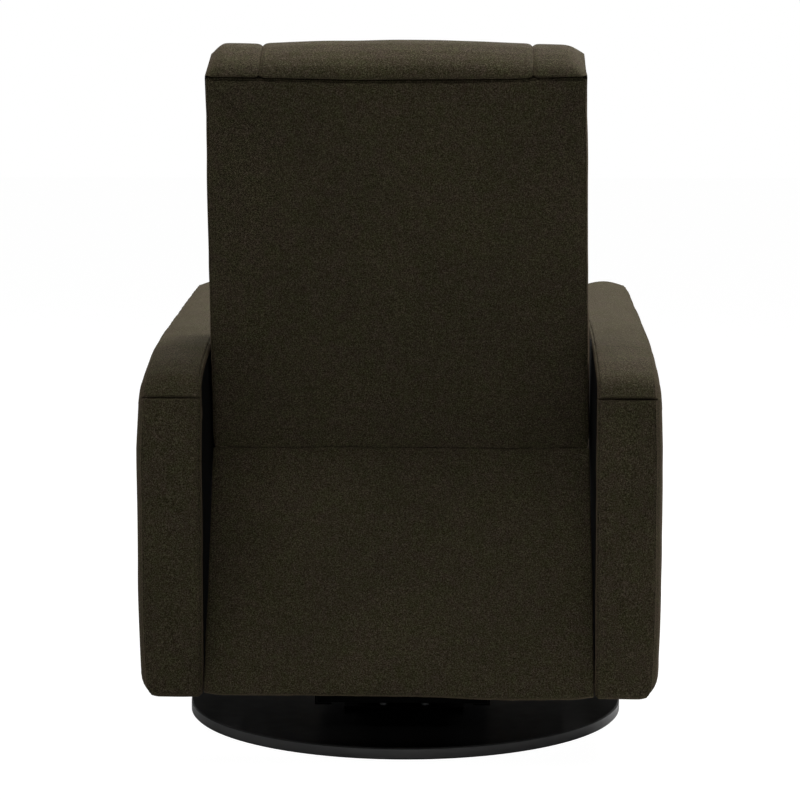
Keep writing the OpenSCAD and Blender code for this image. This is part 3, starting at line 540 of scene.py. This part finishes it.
def zinc():
    """Zinc plated steel: soft spangle, rolling lines and a little dulling."""
    material, nodes, link, shader = new_material("zinc_plate", 0.36, metallic=1.0)
    spangle = add_noise(nodes, link, 120, 3)
    colour = add_ramp(nodes, link, spangle, [(0.3, (0.20, 0.205, 0.215)), (0.7, (0.30, 0.305, 0.31))])
    link(colour, shader.inputs["Base Color"])
    rolled = add_noise(nodes, link, 160, 3, stretch=(1, 14, 1))
    gloss = add_ramp(nodes, link, rolled, [(0.3, grey(0.28)), (0.7, grey(0.46))])
    link(gloss, shader.inputs["Roughness"])
    add_bump(nodes, link, shader, [(rolled, 0.08, 0.0002)])
    return material


def raw_timber():
    """Raw hardwood and plywood: grain along X with darker lines and open pores."""
    material, nodes, link, shader = new_material("raw_timber", 0.7)
    grain = add_noise(nodes, link, 22, 6, stretch=(0.6, 9, 9))
    colour = add_ramp(nodes, link, grain, [(0.25, TIMBER_DARK), (0.5, TIMBER_MID), (0.75, TIMBER_LIGHT)])
    link(colour, shader.inputs["Base Color"])
    pores = add_noise(nodes, link, 260, 3, stretch=(0.3, 5, 5))
    add_bump(nodes, link, shader, [(pores, 0.25, 0.0004)])
    return material


def moulded(name, colour, roughness, grain, specular=0.5):
    """Rubber, plastic or the black sheet of painted shade, each of one colour with a fine texture."""
    material, nodes, link, shader = new_material(name, roughness, specular=specular)
    mist = add_noise(nodes, link, 90, 3)
    tones = add_ramp(nodes, link, mist, [(0.3, shade(colour, 0.85)), (0.7, shade(colour, 1.15))])
    link(tones, shader.inputs["Base Color"])
    add_bump(nodes, link, shader, [(add_noise(nodes, link, grain, 2), 0.2, 0.0003)])
    return material


MATERIALS = {
    "cloth": heather_cloth(),
    "disc": lacquer(),
    "black_steel": powder_coat(),
    "steel": zinc(),
    "timber": raw_timber(),
    "rubber": moulded("black_rubber", (0.02, 0.02, 0.02), 0.8, 500),
    "plastic": moulded("black_plastic", (0.012, 0.012, 0.012), 0.45, 1200),
    # The black sheet below is painted shade for the gaps between the arms and the back
    "shade_sheet": moulded("painted_shade_sheet", (0.0012, 0.0011, 0.0010), 0.95, 1500, 0.05),
}

for part in frame["record"]["subparts"]:
    node = frame["nodes"][part["node"]]
    node.data.materials.clear()
    node.data.materials.append(MATERIALS[part["material_slot"]])


def paint(obj, slot):
    """Gives a new piece the material of a slot."""
    obj.data.materials.clear()
    obj.data.materials.append(MATERIALS[slot])
    return obj


def upholstered(obj, body, nodes):
    """Finishes a soft piece: cloth, body, and the CAD nodes it stands for, which it hides."""
    paint(obj, "cloth")
    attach(obj, body)
    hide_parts(*nodes)
    return obj


# Arms

# The arm's top line from its cross seam at the rear to its front, as (y, z)
ARM_TOP = [
    (0.4305, 0.5600), (0.4180, 0.5815), (0.3900, 0.5950), (0.3300, 0.6125), (0.2200, 0.6286),
    (0.1100, 0.6346), (-0.0200, 0.6421), (-0.1800, 0.6492), (-0.3000, 0.6557), (-0.3520, 0.6585),
    (-0.3720, 0.6530), (-0.3825, 0.6370), (-0.3850, 0.6130),
]
ARM_SEAM = (ARM_REAR, 0.558)
FRONT_SEAM = (ARM_FRONT, 0.590)
HEM = 0.003
ARM_LOW = BODY_Z - HEM
CORNER_FRONT_R, CORNER_REAR_R, SEAM_R = 0.012, 0.010, 0.002
ARM_EDGE_IN, ARM_EDGE_OUT = 0.009, 0.005
ARM_FOOT_X, ARM_FOOT_R = 0.388, 0.038
# How far each arm's outer top is drawn inward: the left one was stuffed a little slacker
ARM_DRAWN = {1: 0.0075, -1: 0.0040}
ARM_TUCKED = 0.0032
# Where that drawing in and the tuck of the outer foot start and where they are full
OUTER_X = (0.33, 0.37)
DRAWN_Z = (0.48, 0.60)
TUCKED_Z = (0.27, 0.15)
# The same for the belly of the boxing: its extra share on top, and its extra share forward
TOP_Z, TOP_MORE = (0.565, 0.595), 0.8
FORWARD_Y, FORWARD_MORE = (0.35, -0.15), 1.4
FLAT_FOOT = 0.05


def arm_belly(pts):
    """The arm's boxing is fullest on its top, more so towards the front, and flat below."""
    y, z = pts[:, 0], pts[:, 1]
    more = fade(z, *TOP_Z) * (TOP_MORE + FORWARD_MORE * fade(y, *FORWARD_Y))
    return fade(z, ARM_LOW, ARM_LOW + FLAT_FOOT) * (1 + more)


def arm(side, word):
    """One arm: inner panel, boxing with a cross seam at the rear and front, crowned outer panel."""
    corners = [(ARM_FRONT, ARM_LOW, CORNER_FRONT_R), (ARM_REAR, ARM_LOW, CORNER_REAR_R)]
    corners += [(*ARM_SEAM, SEAM_R)]
    corners += [(y, z, None) for y, z in ARM_TOP]
    corners += [(*FRONT_SEAM, SEAM_R)]
    stations = boxed(
        ARM_IN, SEAM_X, ARM_EDGE_IN, ARM_EDGE_OUT, 0.0, PANEL_CROWN,
        belly=0.0022, dip=0.0020, rows=9,
    )

    def place(y, z, x):
        x = x - ARM_DRAWN[side] * fade(z, *DRAWN_Z) * fade(x, *OUTER_X)
        x = x - ARM_TUCKED * (fade(z, *TUCKED_Z) * fade(x, *OUTER_X)) ** 1.5
        out = fade(x, ARM_FOOT_X - ARM_FOOT_R, ARM_FOOT_X)
        low = fade(z, ARM_LOW + ARM_FOOT_R, ARM_LOW)
        x = x - out * (1 - np.sqrt(1 - low * low / 2)) * ARM_FOOT_R
        z = z + low * (1 - np.sqrt(1 - out * out / 2)) * ARM_FOOT_R
        return np.stack([side * x, y, z], axis=1)

    obj = pad(
        f"arm_cover_{word}", corners, stations, place, seed=11 if side > 0 else 17,
        marks=(ARM_SEAM, FRONT_SEAM), fuller=arm_belly,
    )
    return upholstered(obj, "chassis", [f"arm_boxing_{word}", f"arm_panel_{word}"])


# Painted shade: a thin black sheet on each arm's inner face, where the gap beside the back is dark
SHADE_SHEET_Y = (0.17, 0.409)
SHADE_SHEET_T = 0.0006
SHADE_SHEET_SUNK = 0.002
SHADE_SHEET_BELOW_TOP, SHADE_SHEET_ABOVE_FOOT = 0.013, 0.020
SHADE_SHEET_POINTS = 12


def shade_sheet(side, word):
    """A thin black sheet on the arm's inner face beside the back: painted shade, darkening the gap between
    arm and back.
    """
    ys = np.linspace(*SHADE_SHEET_Y, SHADE_SHEET_POINTS)
    tops = np.interp(ys, *zip(*ARM_TOP[::-1]))
    line = [(y, z - SHADE_SHEET_BELOW_TOP) for y, z in zip(ys, tops)]
    line += [(y, ARM_LOW + SHADE_SHEET_ABOVE_FOOT) for y in SHADE_SHEET_Y[::-1]]
    rows = [[(side * x, y, z) for y, z in line] for x in (ARM_IN - SHADE_SHEET_T, ARM_IN + SHADE_SHEET_SUNK)]
    n = len(rows[0])
    faces = [tuple(range(n)), tuple(range(n, 2 * n))]
    faces += [(i, (i + 1) % n, n + (i + 1) % n, n + i) for i in range(n)]
    obj = mesh_object(f"arm_shade_sheet_{word}", rows[0] + rows[1], faces)
    obj.data.materials.append(MATERIALS["shade_sheet"])
    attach(obj, "chassis")


SIDES = ((1, "left"), (-1, "right"))
for side, word in SIDES:
    arm(side, word)
# Black sheets of painted shade go in the gaps beside the back
for side, word in SIDES:
    shade_sheet(side, word)

# Back, in its own plane

BACK_SWAY, SWAY_V = 0.003, (0.0, 0.4)


def in_back(x, u, v):
    """Points from the back's plane, u rearward and v up, to the row frame, with a slight sway."""
    x = x + BACK_SWAY * fade(v, *SWAY_V)
    y = PIVOT_Y + u * math.cos(LEAN) + v * math.sin(LEAN)
    z = PIVOT_Z - u * math.sin(LEAN) + v * math.cos(LEAN)
    return np.stack([x, y, z], axis=1)


def back_hw(v):
    """Half width of the back at a height along it."""
    return BACK_LOW_HW + (BACK_TOP_HW - BACK_LOW_HW) * v / BACK_SEAM


SEAM_RISE, SEAM_RISE_X = 0.0042, 0.25
WAVER, WAVER_LONG = 0.0007, 0.055
SEAM_FADE = 0.05


def seam_wave(x):
    """Rise of the rear top seam towards its ends, with small wavers."""
    at = np.stack([x / WAVER_LONG, np.zeros_like(x), np.zeros_like(x)], axis=1)
    return SEAM_RISE * (x / SEAM_RISE_X) ** 2 + WAVER * lattice(at, 5)


# The lip of the rear skin that runs on round the heel: its length, the depths at which it is
# full and at which it ends, and the height over which it starts
LIP, LIP_FULL, LIP_DEEP, LIP_FADE = 0.030, 0.003, 0.0062, 0.036
WRAP_OVER, PROUD = 0.002, 0.004
SLAB_WIDER, SLAB_SHIFT = 0.0008, 0.0005
SLAB_LOW_R, SLAB_TOP_R = 0.003, 0.008


def slab_place(x, v, u):
    """The rear slab: its top follows the wavy seam, and its rear skin runs on round the heel."""
    v = v + fade(v, BACK_SEAM - SEAM_FADE, BACK_SEAM) * seam_wave(x)
    x = x + SLAB_SHIFT
    deep = REAR_U - u
    low = fade(v, SLAB_LOW_V + LIP_FADE, SLAB_LOW_V)
    rear = fade(deep, LIP_DEEP, LIP_FULL)
    v = v - LIP * low * rear * rear * (3 - 2 * rear)
    past = np.maximum(TANGENT_V - v, 0)
    angle = LEAN - past / HEEL_R
    r = HEEL_R - np.clip(deep, -PROUD, HEEL_R)
    wrapped = (past > 0) & (deep < LIP_DEEP + WRAP_OVER)
    return np.where(
        wrapped[:, None],
        in_back(x, r * np.cos(angle), r * np.sin(angle)),
        in_back(x, u, v),
    )


slab_low_hw, slab_top_hw = (back_hw(v) + SLAB_WIDER for v in (SLAB_LOW_V, BACK_SEAM))
slab_corners = [
    (-slab_low_hw, SLAB_LOW_V, SLAB_LOW_R), (slab_low_hw, SLAB_LOW_V, SLAB_LOW_R),
    (slab_top_hw, BACK_SEAM, SLAB_TOP_R), (-slab_top_hw, BACK_SEAM, SLAB_TOP_R),
]
slab = pad(
    "back_cover_rear", slab_corners,
    boxed(REAR_U, SLAB_U, 0.009, 0.004, 0.0035, 0.0, belly=0.002, dip=0.0016, rows=6),
    slab_place, seed=23, pucker=0.0010, ripple=0.0008,
)
upholstered(slab, "backrest", ["back_cover"])


SEAM_SINK = 0.0028
SEAM_GAP = 0.0003
# The section's rear face stands off the slab, and its roll off the rear face's plane, by these
SLAB_GAP, ROLL_GAP = 0.001, 0.0005
PILLOW_FOOT_IN = 0.012
PILLOW_MID_V = 0.30
ROLL_REAR_ANGLES = (24, 40, 56, 73, 90)
ROLL_FRONT_ANGLES = (20, 40, 60, 80)
ROLL_FRONT_DROP = 0.03


def section_outline(low_v, crown):
    """Outline, in (u, v), of a section of the front padding with its top roll, to be swept along x."""
    front = SLAB_U - PILLOW_DEEP - crown
    seam = BACK_SEAM + SEAM_GAP
    corners = [
        (front + PILLOW_FOOT_IN, low_v, 0.022),
        (SLAB_U - SLAB_GAP, low_v, 0.012),
        (SLAB_U - SLAB_GAP, seam, 0.001),
        (REAR_U - SEAM_SINK, seam, 0.0008),
        (REAR_U - 0.0008, seam + 0.0042, 0.004),
    ]
    deep = REAR_U - ROLL_GAP - ROLL_MID_U
    for a in map(math.radians, ROLL_REAR_ANGLES):
        corners.append((ROLL_MID_U + deep * math.cos(a), seam + ROLL_H * math.sin(a), None))
    deep, rise = ROLL_MID_U - front, ROLL_H + ROLL_FRONT_DROP
    for a in map(math.radians, ROLL_FRONT_ANGLES):
        corners.append((ROLL_MID_U - deep * math.sin(a), seam - ROLL_FRONT_DROP + rise * math.cos(a), None))
    corners.append((front, PILLOW_MID_V, None))
    return outline(corners, step=0.011)[:2]


ROLL_RAISED, ROLL_FALL, ROLL_END_FALL = 0.0003, 0.0090, 0.0045


def roll_lift(x):
    """Rise of the top roll's crest across the back: fullest in the middle, slack at the right end."""
    past = fade(-x, PILLOW_HW, BACK_TOP_HW)
    return ROLL_RAISED - ROLL_FALL * min(abs(x) / PILLOW_HW, 1) ** 2 - ROLL_END_FALL * past


# The roll's slack at its free end, by side: over what length, how deep and how suddenly it drops
SLACK_LONG = {1: 0.021, -1: 0.028}
SLACK_DROP = {1: 0.020, -1: 0.023}
SLACK_POWER = {1: 3.0, -1: 2.4}
SLACK_MOST = 1.2


def end_slack(x, side):
    """Drop of the roll's crest at a distance x from the back's middle."""
    past = max(0.0, x - BACK_TOP_HW + SLACK_LONG[side]) / SLACK_LONG[side]
    return SLACK_DROP[side] * past ** SLACK_POWER[side]


NOTCH_R, NOTCH_SUNK = 0.0095, 0.0015
NOTCH_STEPS = (-0.35, -0.3, -0.1, 0.2, 0.6, 1.1, 1.8)
SECTION_STEP = 0.013


def section_xs(x0, x1):
    """Where a section's rings stand: in even steps, and closer at its two seams."""
    count = math.ceil((x1 - x0) / SECTION_STEP)
    xs = [x0 + (x1 - x0) * k / count for k in range(1, count)]
    xs += [x0 + NOTCH_R * f for f in NOTCH_STEPS]
    xs += [x1 - NOTCH_R * f for f in NOTCH_STEPS]
    return sorted(xs)


def notch(edge):
    """How far a section is drawn in at a distance from its seam."""
    if edge >= NOTCH_R:
        return 0.0
    left = NOTCH_R - max(edge + NOTCH_SUNK, 0)
    return NOTCH_R - math.sqrt(max(NOTCH_R ** 2 - left ** 2, 0))


# How far each side of the back stands out at its top seam, and how far the roll's ends are tucked in
END_OUT = {1: 0.0012, -1: -0.0004}
END_TUCK = 0.0130


def section(name, x0, x1, low_v, crown, outer, seed, nodes):
    """A stuffed section between two vertical seams; outer is the side of the back's edge, or 0."""
    pts, normals = section_outline(low_v, crown)
    rings = []
    for x in section_xs(x0, x1):
        ring = pts - notch(min(x - x0, x1 - x)) * normals
        u, v = ring[:, 0], ring[:, 1]
        v = v + roll_lift(x) * fade(v, BACK_SEAM, BACK_SEAM + ROLL_H)
        if outer * x > 0 and abs(x) > (abs(x0) + abs(x1)) / 2:
            v = v - np.clip((v - BACK_SEAM) / ROLL_H, 0, SLACK_MOST) * end_slack(abs(x), outer)
        rise = seam_wave(np.full(len(ring), x)) * fade(v, BACK_SEAM - 0.01, BACK_SEAM)
        rings.append(np.column_stack([np.full(len(ring), x), u, v + rise]))
    rings = np.array(rings)
    if outer:
        heights = rings[..., 2]
        share = fade(np.abs(rings[..., 0]), PILLOW_HW, BACK_TOP_HW)
        spread = back_hw(np.minimum(heights, BACK_SEAM)) - BACK_TOP_HW + END_OUT[outer]
        tuck = END_TUCK * fade(heights, BACK_SEAM - 0.004, BACK_SEAM + 0.030) ** 1.5
        rings[..., 0] += outer * (spread * share - tuck * share ** 2)
    soft = lattice(rings / 0.06 + seed, seed) + 0.5 * lattice(rings / 0.02, seed + 1)
    rings[..., 1] += 0.0006 * soft
    plain = in_back(rings[..., 0].ravel(), rings[..., 1].ravel(), rings[..., 2].ravel())
    obj = skin(name, plain.reshape(rings.shape))
    x, u, v = np.vstack([rings.reshape(-1, 3), rings[0].mean(0), rings[-1].mean(0)]).T
    below = fade(v, BACK_SEAM - 0.035, BACK_SEAM - 0.095)
    forward = fade(u, SLAB_U - 0.010, SLAB_U - 0.030)
    inner = fade(np.minimum(x - x0, x1 - x), -0.001, 0.011)
    inflate(obj, 0.011, hold=below * forward * inner)
    return upholstered(obj, "backrest", nodes)


section("back_pillow_centre", -PILLOW_HW, PILLOW_HW, -0.040, 0.010, 0, 31, ["back_pillow"])
section("back_pillow_left", PILLOW_HW, BACK_TOP_HW, -0.025, 0.004, 1, 37, ["back_bolster_left"])
section("back_pillow_right", -BACK_TOP_HW, -PILLOW_HW, -0.025, 0.004, -1, 41, ["back_bolster_right"])

# Lower back panel

PANEL_T = 0.016
PANEL_FOOT_HW, PANEL_TOP_HW = 0.2870, 0.2838
PANEL_FOOT_R, PANEL_TOP_R = 0.003, 0.004
PANEL_EDGE_OUT, PANEL_EDGE_IN = 0.0045, 0.003
PANEL_SWELL = 0.003
PANEL_TOP_GAP = 0.0015
# The foot's rise over the left half and at both ends, with the x over which each grows to its full
ASKEW, ASKEW_X = 0.0042, (-0.13, -0.03)
ENDS_UP, ENDS_X = 0.003, (0.262, 0.282)
ASKEW_HIGH = 0.08
CREASE = np.array((PIVOT_Y + HEEL_R, PIVOT_Z))
PANEL_FOOT = np.array((ARM_REAR, BODY_Z))
PANEL_DIR = (PANEL_FOOT - CREASE) / np.linalg.norm(PANEL_FOOT - CREASE)
PANEL_OUT = np.array((-PANEL_DIR[1], PANEL_DIR[0]))
PANEL_L = float(np.linalg.norm(PANEL_FOOT - CREASE))


def panel_place(x, s, out):
    """s runs up the panel from its foot, and out is square to its outer face; the foot hangs askew."""
    lift = ASKEW * fade(x, *ASKEW_X) + ENDS_UP * fade(np.abs(x), *ENDS_X)
    s = s + lift * fade(s, ASKEW_HIGH, 0)
    way = PANEL_FOOT - np.outer(s, PANEL_DIR) + np.outer(out, PANEL_OUT)
    return np.column_stack([x, way[:, 0], way[:, 1]])


panel_top = PANEL_L - PANEL_TOP_GAP
panel_corners = [
    (-PANEL_FOOT_HW, 0.0, PANEL_FOOT_R), (PANEL_FOOT_HW, 0.0, PANEL_FOOT_R),
    (PANEL_TOP_HW, panel_top, PANEL_TOP_R), (-PANEL_TOP_HW, panel_top, PANEL_TOP_R),
]
lower_panel = pad(
    "lower_back_cover", panel_corners,
    boxed(0.0, -PANEL_T, PANEL_EDGE_OUT, PANEL_EDGE_IN, PANEL_SWELL, 0.0, belly=0.0, dip=0.0, rows=2),
    panel_place, seed=43, pucker=0.0008, ripple=0.0008,
)
upholstered(lower_panel, "chassis", ["lower_back_panel"])

# Seat and footrest

# How much smaller than its solid each cover is cut, so that it has room to swell
SEAT_ROOM_X, SEAT_ROOM_Y, SEAT_ROOM_LOW, SEAT_ROOM_TOP = 0.005, 0.006, 0.004, 0.026
SEAT_FRONT_R, SEAT_REAR_R = 0.030, 0.020
SEAT_CROWN = 0.016
SEAT_WAIST, SEAT_HALF = 0.012, 0.33
PAD_ROOM, PAD_ROOM_FRONT = 0.004, 0.016
PAD_R = 0.016
PAD_CROWN = 0.009
SEAM_BELOW = 0.004
SEW_POINTS = 0.02


def seat():
    """Boxed seat cushion, swelled as cloth, with a seam round its top and its underside."""
    near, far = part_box("seat_cushion")
    hw = far[0] - SEAT_ROOM_X
    y0, y1 = near[1] + SEAT_ROOM_Y, far[1] - SEAT_ROOM_Y
    corners = [(-hw, y0, SEAT_FRONT_R), (hw, y0, SEAT_FRONT_R), (hw, y1, SEAT_REAR_R), (-hw, y1, SEAT_REAR_R)]
    low, high = near[2] + SEAT_ROOM_LOW, far[2] - SEAT_ROOM_TOP
    stations = boxed(low, high, 0.012, 0.014, 0.0, SEAT_CROWN, belly=0.003)

    def place(x, y, z):
        pull = 1 - SEAT_WAIST * (1 - (y / SEAT_HALF) ** 2)
        return np.stack([x * pull, y, z], axis=1)

    obj = pad("seat_cushion_cover", corners, stations, place, seed=47, ripple=0.001)
    inflate(obj, 0.010)
    pts = outline(corners, SEW_POINTS)[0]
    for z in (high - SEAM_BELOW, low + SEAM_BELOW):
        sew(obj, place(pts[:, 0], pts[:, 1], np.full(len(pts), z)), 0.0035, 0.0045)
    return upholstered(obj, "chassis", ["seat_cushion"])


def footrest():
    """Footrest pad, swelled as cloth, with a seam round its front."""
    near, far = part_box("footrest_pad")
    hw = far[0] - PAD_ROOM
    z0, z1 = near[2] + PAD_ROOM, far[2] - PAD_ROOM
    corners = [(-hw, z0, PAD_R), (hw, z0, PAD_R), (hw, z1, PAD_R), (-hw, z1, PAD_R)]
    front = near[1] + PAD_ROOM_FRONT
    stations = boxed(far[1], front, 0.004, 0.014, 0.0, PAD_CROWN, belly=0.002, rows=4)

    def place(x, z, y):
        return np.stack([x, y, z], axis=1)

    obj = pad("footrest_cover", corners, stations, place, seed=53, ripple=0.001)
    inflate(obj, 0.006)
    pts = outline(corners, SEW_POINTS)[0]
    sew(obj, place(pts[:, 0], pts[:, 1], np.full(len(pts), front + SEAM_BELOW)), 0.003, 0.0045)
    return upholstered(obj, "footrest", ["footrest_pad"])


seat()
footrest()

# Rocker springs

SPRING_X, SPRING_R, WIRE_R, CURLS = 0.052, 0.020, 0.003, 5
FLAT_TURNS = 0.6
TURN_POINTS, WIRE_SIDES = 28, 12
WIRE_SHARE = 0.93


def rock_springs(name, node):
    """The pair of coil springs of one end, between the turntable and the chassis."""
    low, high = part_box(node)
    y = (low[1] + high[1]) / 2
    z0, z1 = low[2] + WIRE_R, high[2] - WIRE_R
    turns = np.linspace(0, CURLS, CURLS * TURN_POINTS + 1)
    angle = 2 * math.pi * turns
    rise = fade(turns, FLAT_TURNS, CURLS - FLAT_TURNS)
    coils = []
    for side in (-1, 1):
        xs = side * SPRING_X + SPRING_R * np.cos(angle)
        ys = y + SPRING_R * np.sin(angle)
        path = np.stack([xs, ys, z0 + (z1 - z0) * rise], axis=1)
        coils.append(tube(f"{name}_{len(coils)}", path, WIRE_R * WIRE_SHARE, WIRE_SIDES))
    bpy.ops.object.select_all(action="DESELECT")
    for coil in coils:
        coil.select_set(True)
    bpy.context.view_layer.objects.active = coils[0]
    bpy.ops.object.join()
    coils[0].name = name
    paint(coils[0], "steel")
    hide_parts(node)
    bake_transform(coils[0])


rock_springs("rock_coils_front", "rock_springs_front")
rock_springs("rock_coils_rear", "rock_springs_rear")

# Stage, light and camera

WORLD, WORLD_MIRRORED = 0.02, 0.14
FLOOR_SIZE, FLOOR_WHITE, FLOOR_GLOW, FLOOR_SEEN = 40, 0.80, 1.10, 0.90


def studio_world():
    """A world that is white for the camera, dark grey in mirrors, and lights hardly at all."""
    world = bpy.data.worlds.new("studio")
    bpy.context.scene.world = world
    world.use_nodes = True
    nodes, links = world.node_tree.nodes, world.node_tree.links
    background = nodes["Background"]
    background.inputs["Color"].default_value = (1, 1, 1, 1)
    rays = nodes.new("ShaderNodeLightPath")
    seen = nodes.new("ShaderNodeMath")
    seen.operation = "MAXIMUM"
    mirrored = nodes.new("ShaderNodeMath")
    mirrored.operation = "MULTIPLY"
    mirrored.inputs[1].default_value = WORLD_MIRRORED
    links.new(rays.outputs["Is Glossy Ray"], mirrored.inputs[0])
    links.new(rays.outputs["Is Camera Ray"], seen.inputs[0])
    links.new(mirrored.outputs[0], seen.inputs[1])
    strength = nodes.new("ShaderNodeMapRange")
    strength.inputs["To Min"].default_value = WORLD
    strength.inputs["To Max"].default_value = 1.0
    links.new(seen.outputs[0], strength.inputs["Value"])
    links.new(strength.outputs["Result"], background.inputs["Strength"])


def studio_floor():
    """A matt floor that glows white for the camera."""
    bpy.ops.mesh.primitive_plane_add(size=FLOOR_SIZE, location=(0, 0, 0))
    floor = bpy.context.object
    floor.name = "floor"
    material = bpy.data.materials.new("floor")
    material.use_nodes = True
    nodes, links = material.node_tree.nodes, material.node_tree.links
    nodes.clear()
    out = nodes.new("ShaderNodeOutputMaterial")
    matt = nodes.new("ShaderNodeBsdfDiffuse")
    matt.inputs["Color"].default_value = (*grey(FLOOR_WHITE), 1)
    glow = nodes.new("ShaderNodeEmission")
    glow.inputs["Strength"].default_value = FLOOR_GLOW
    mix = nodes.new("ShaderNodeMixShader")
    rays = nodes.new("ShaderNodeLightPath")
    share = nodes.new("ShaderNodeMath")
    share.operation = "MULTIPLY"
    share.inputs[1].default_value = FLOOR_SEEN
    links.new(rays.outputs["Is Camera Ray"], share.inputs[0])
    links.new(share.outputs[0], mix.inputs["Fac"])
    links.new(matt.outputs[0], mix.inputs[1])
    links.new(glow.outputs[0], mix.inputs[2])
    links.new(mix.outputs[0], out.inputs["Surface"])
    floor.data.materials.append(material)


LAMP_SIZE = 1.6
LAMP_TARGET = (0.0, 0.0, 0.5)
# Each lamp's place and power in watts
LAMPS = {
    "key": ((-1.46, -0.84, 3.33), 190),
    "front": ((0.0, -2.84, 2.47), 65),
    "overhead": ((0.0, 0.0, 3.70), 34),
    "rear_left": ((1.46, 0.84, 3.33), 50),
    "rear": ((0.0, 1.69, 3.33), 35),
    "camera_side": ((0.0, 3.52, 1.17), 8),
}


def lamp(name, place, power):
    """A square soft lamp that faces the chair."""
    light = bpy.data.lights.new(name, "AREA")
    light.shape = "SQUARE"
    light.size = LAMP_SIZE
    light.energy = power
    obj = bpy.data.objects.new(name, light)
    bpy.context.scene.collection.objects.link(obj)
    obj.location = place
    obj.rotation_euler = (Vector(LAMP_TARGET) - Vector(place)).to_track_quat("-Z", "Y").to_euler()
    obj.visible_camera = False


studio_world()
studio_floor()
for name, (place, power) in LAMPS.items():
    lamp(name, place, power)

CAMERA_PLACE = (-0.103, 4.302, 1.042)
CAMERA_YAW, CAMERA_PITCH = math.radians(-1.489), math.radians(7.162)
CAMERA_LENS, SENSOR = 121.5, 36

lens = bpy.data.cameras.new("camera")
lens.sensor_width = SENSOR
lens.lens = CAMERA_LENS
camera = bpy.data.objects.new("camera", lens)
bpy.context.scene.collection.objects.link(camera)
camera.location = CAMERA_PLACE
look = Vector((
    -math.sin(CAMERA_YAW) * math.cos(CAMERA_PITCH),
    -math.cos(CAMERA_YAW) * math.cos(CAMERA_PITCH),
    -math.sin(CAMERA_PITCH),
))
camera.rotation_euler = look.to_track_quat("-Z", "Y").to_euler()
bpy.context.scene.camera = camera
bpy.context.scene.view_settings.view_transform = "Standard"
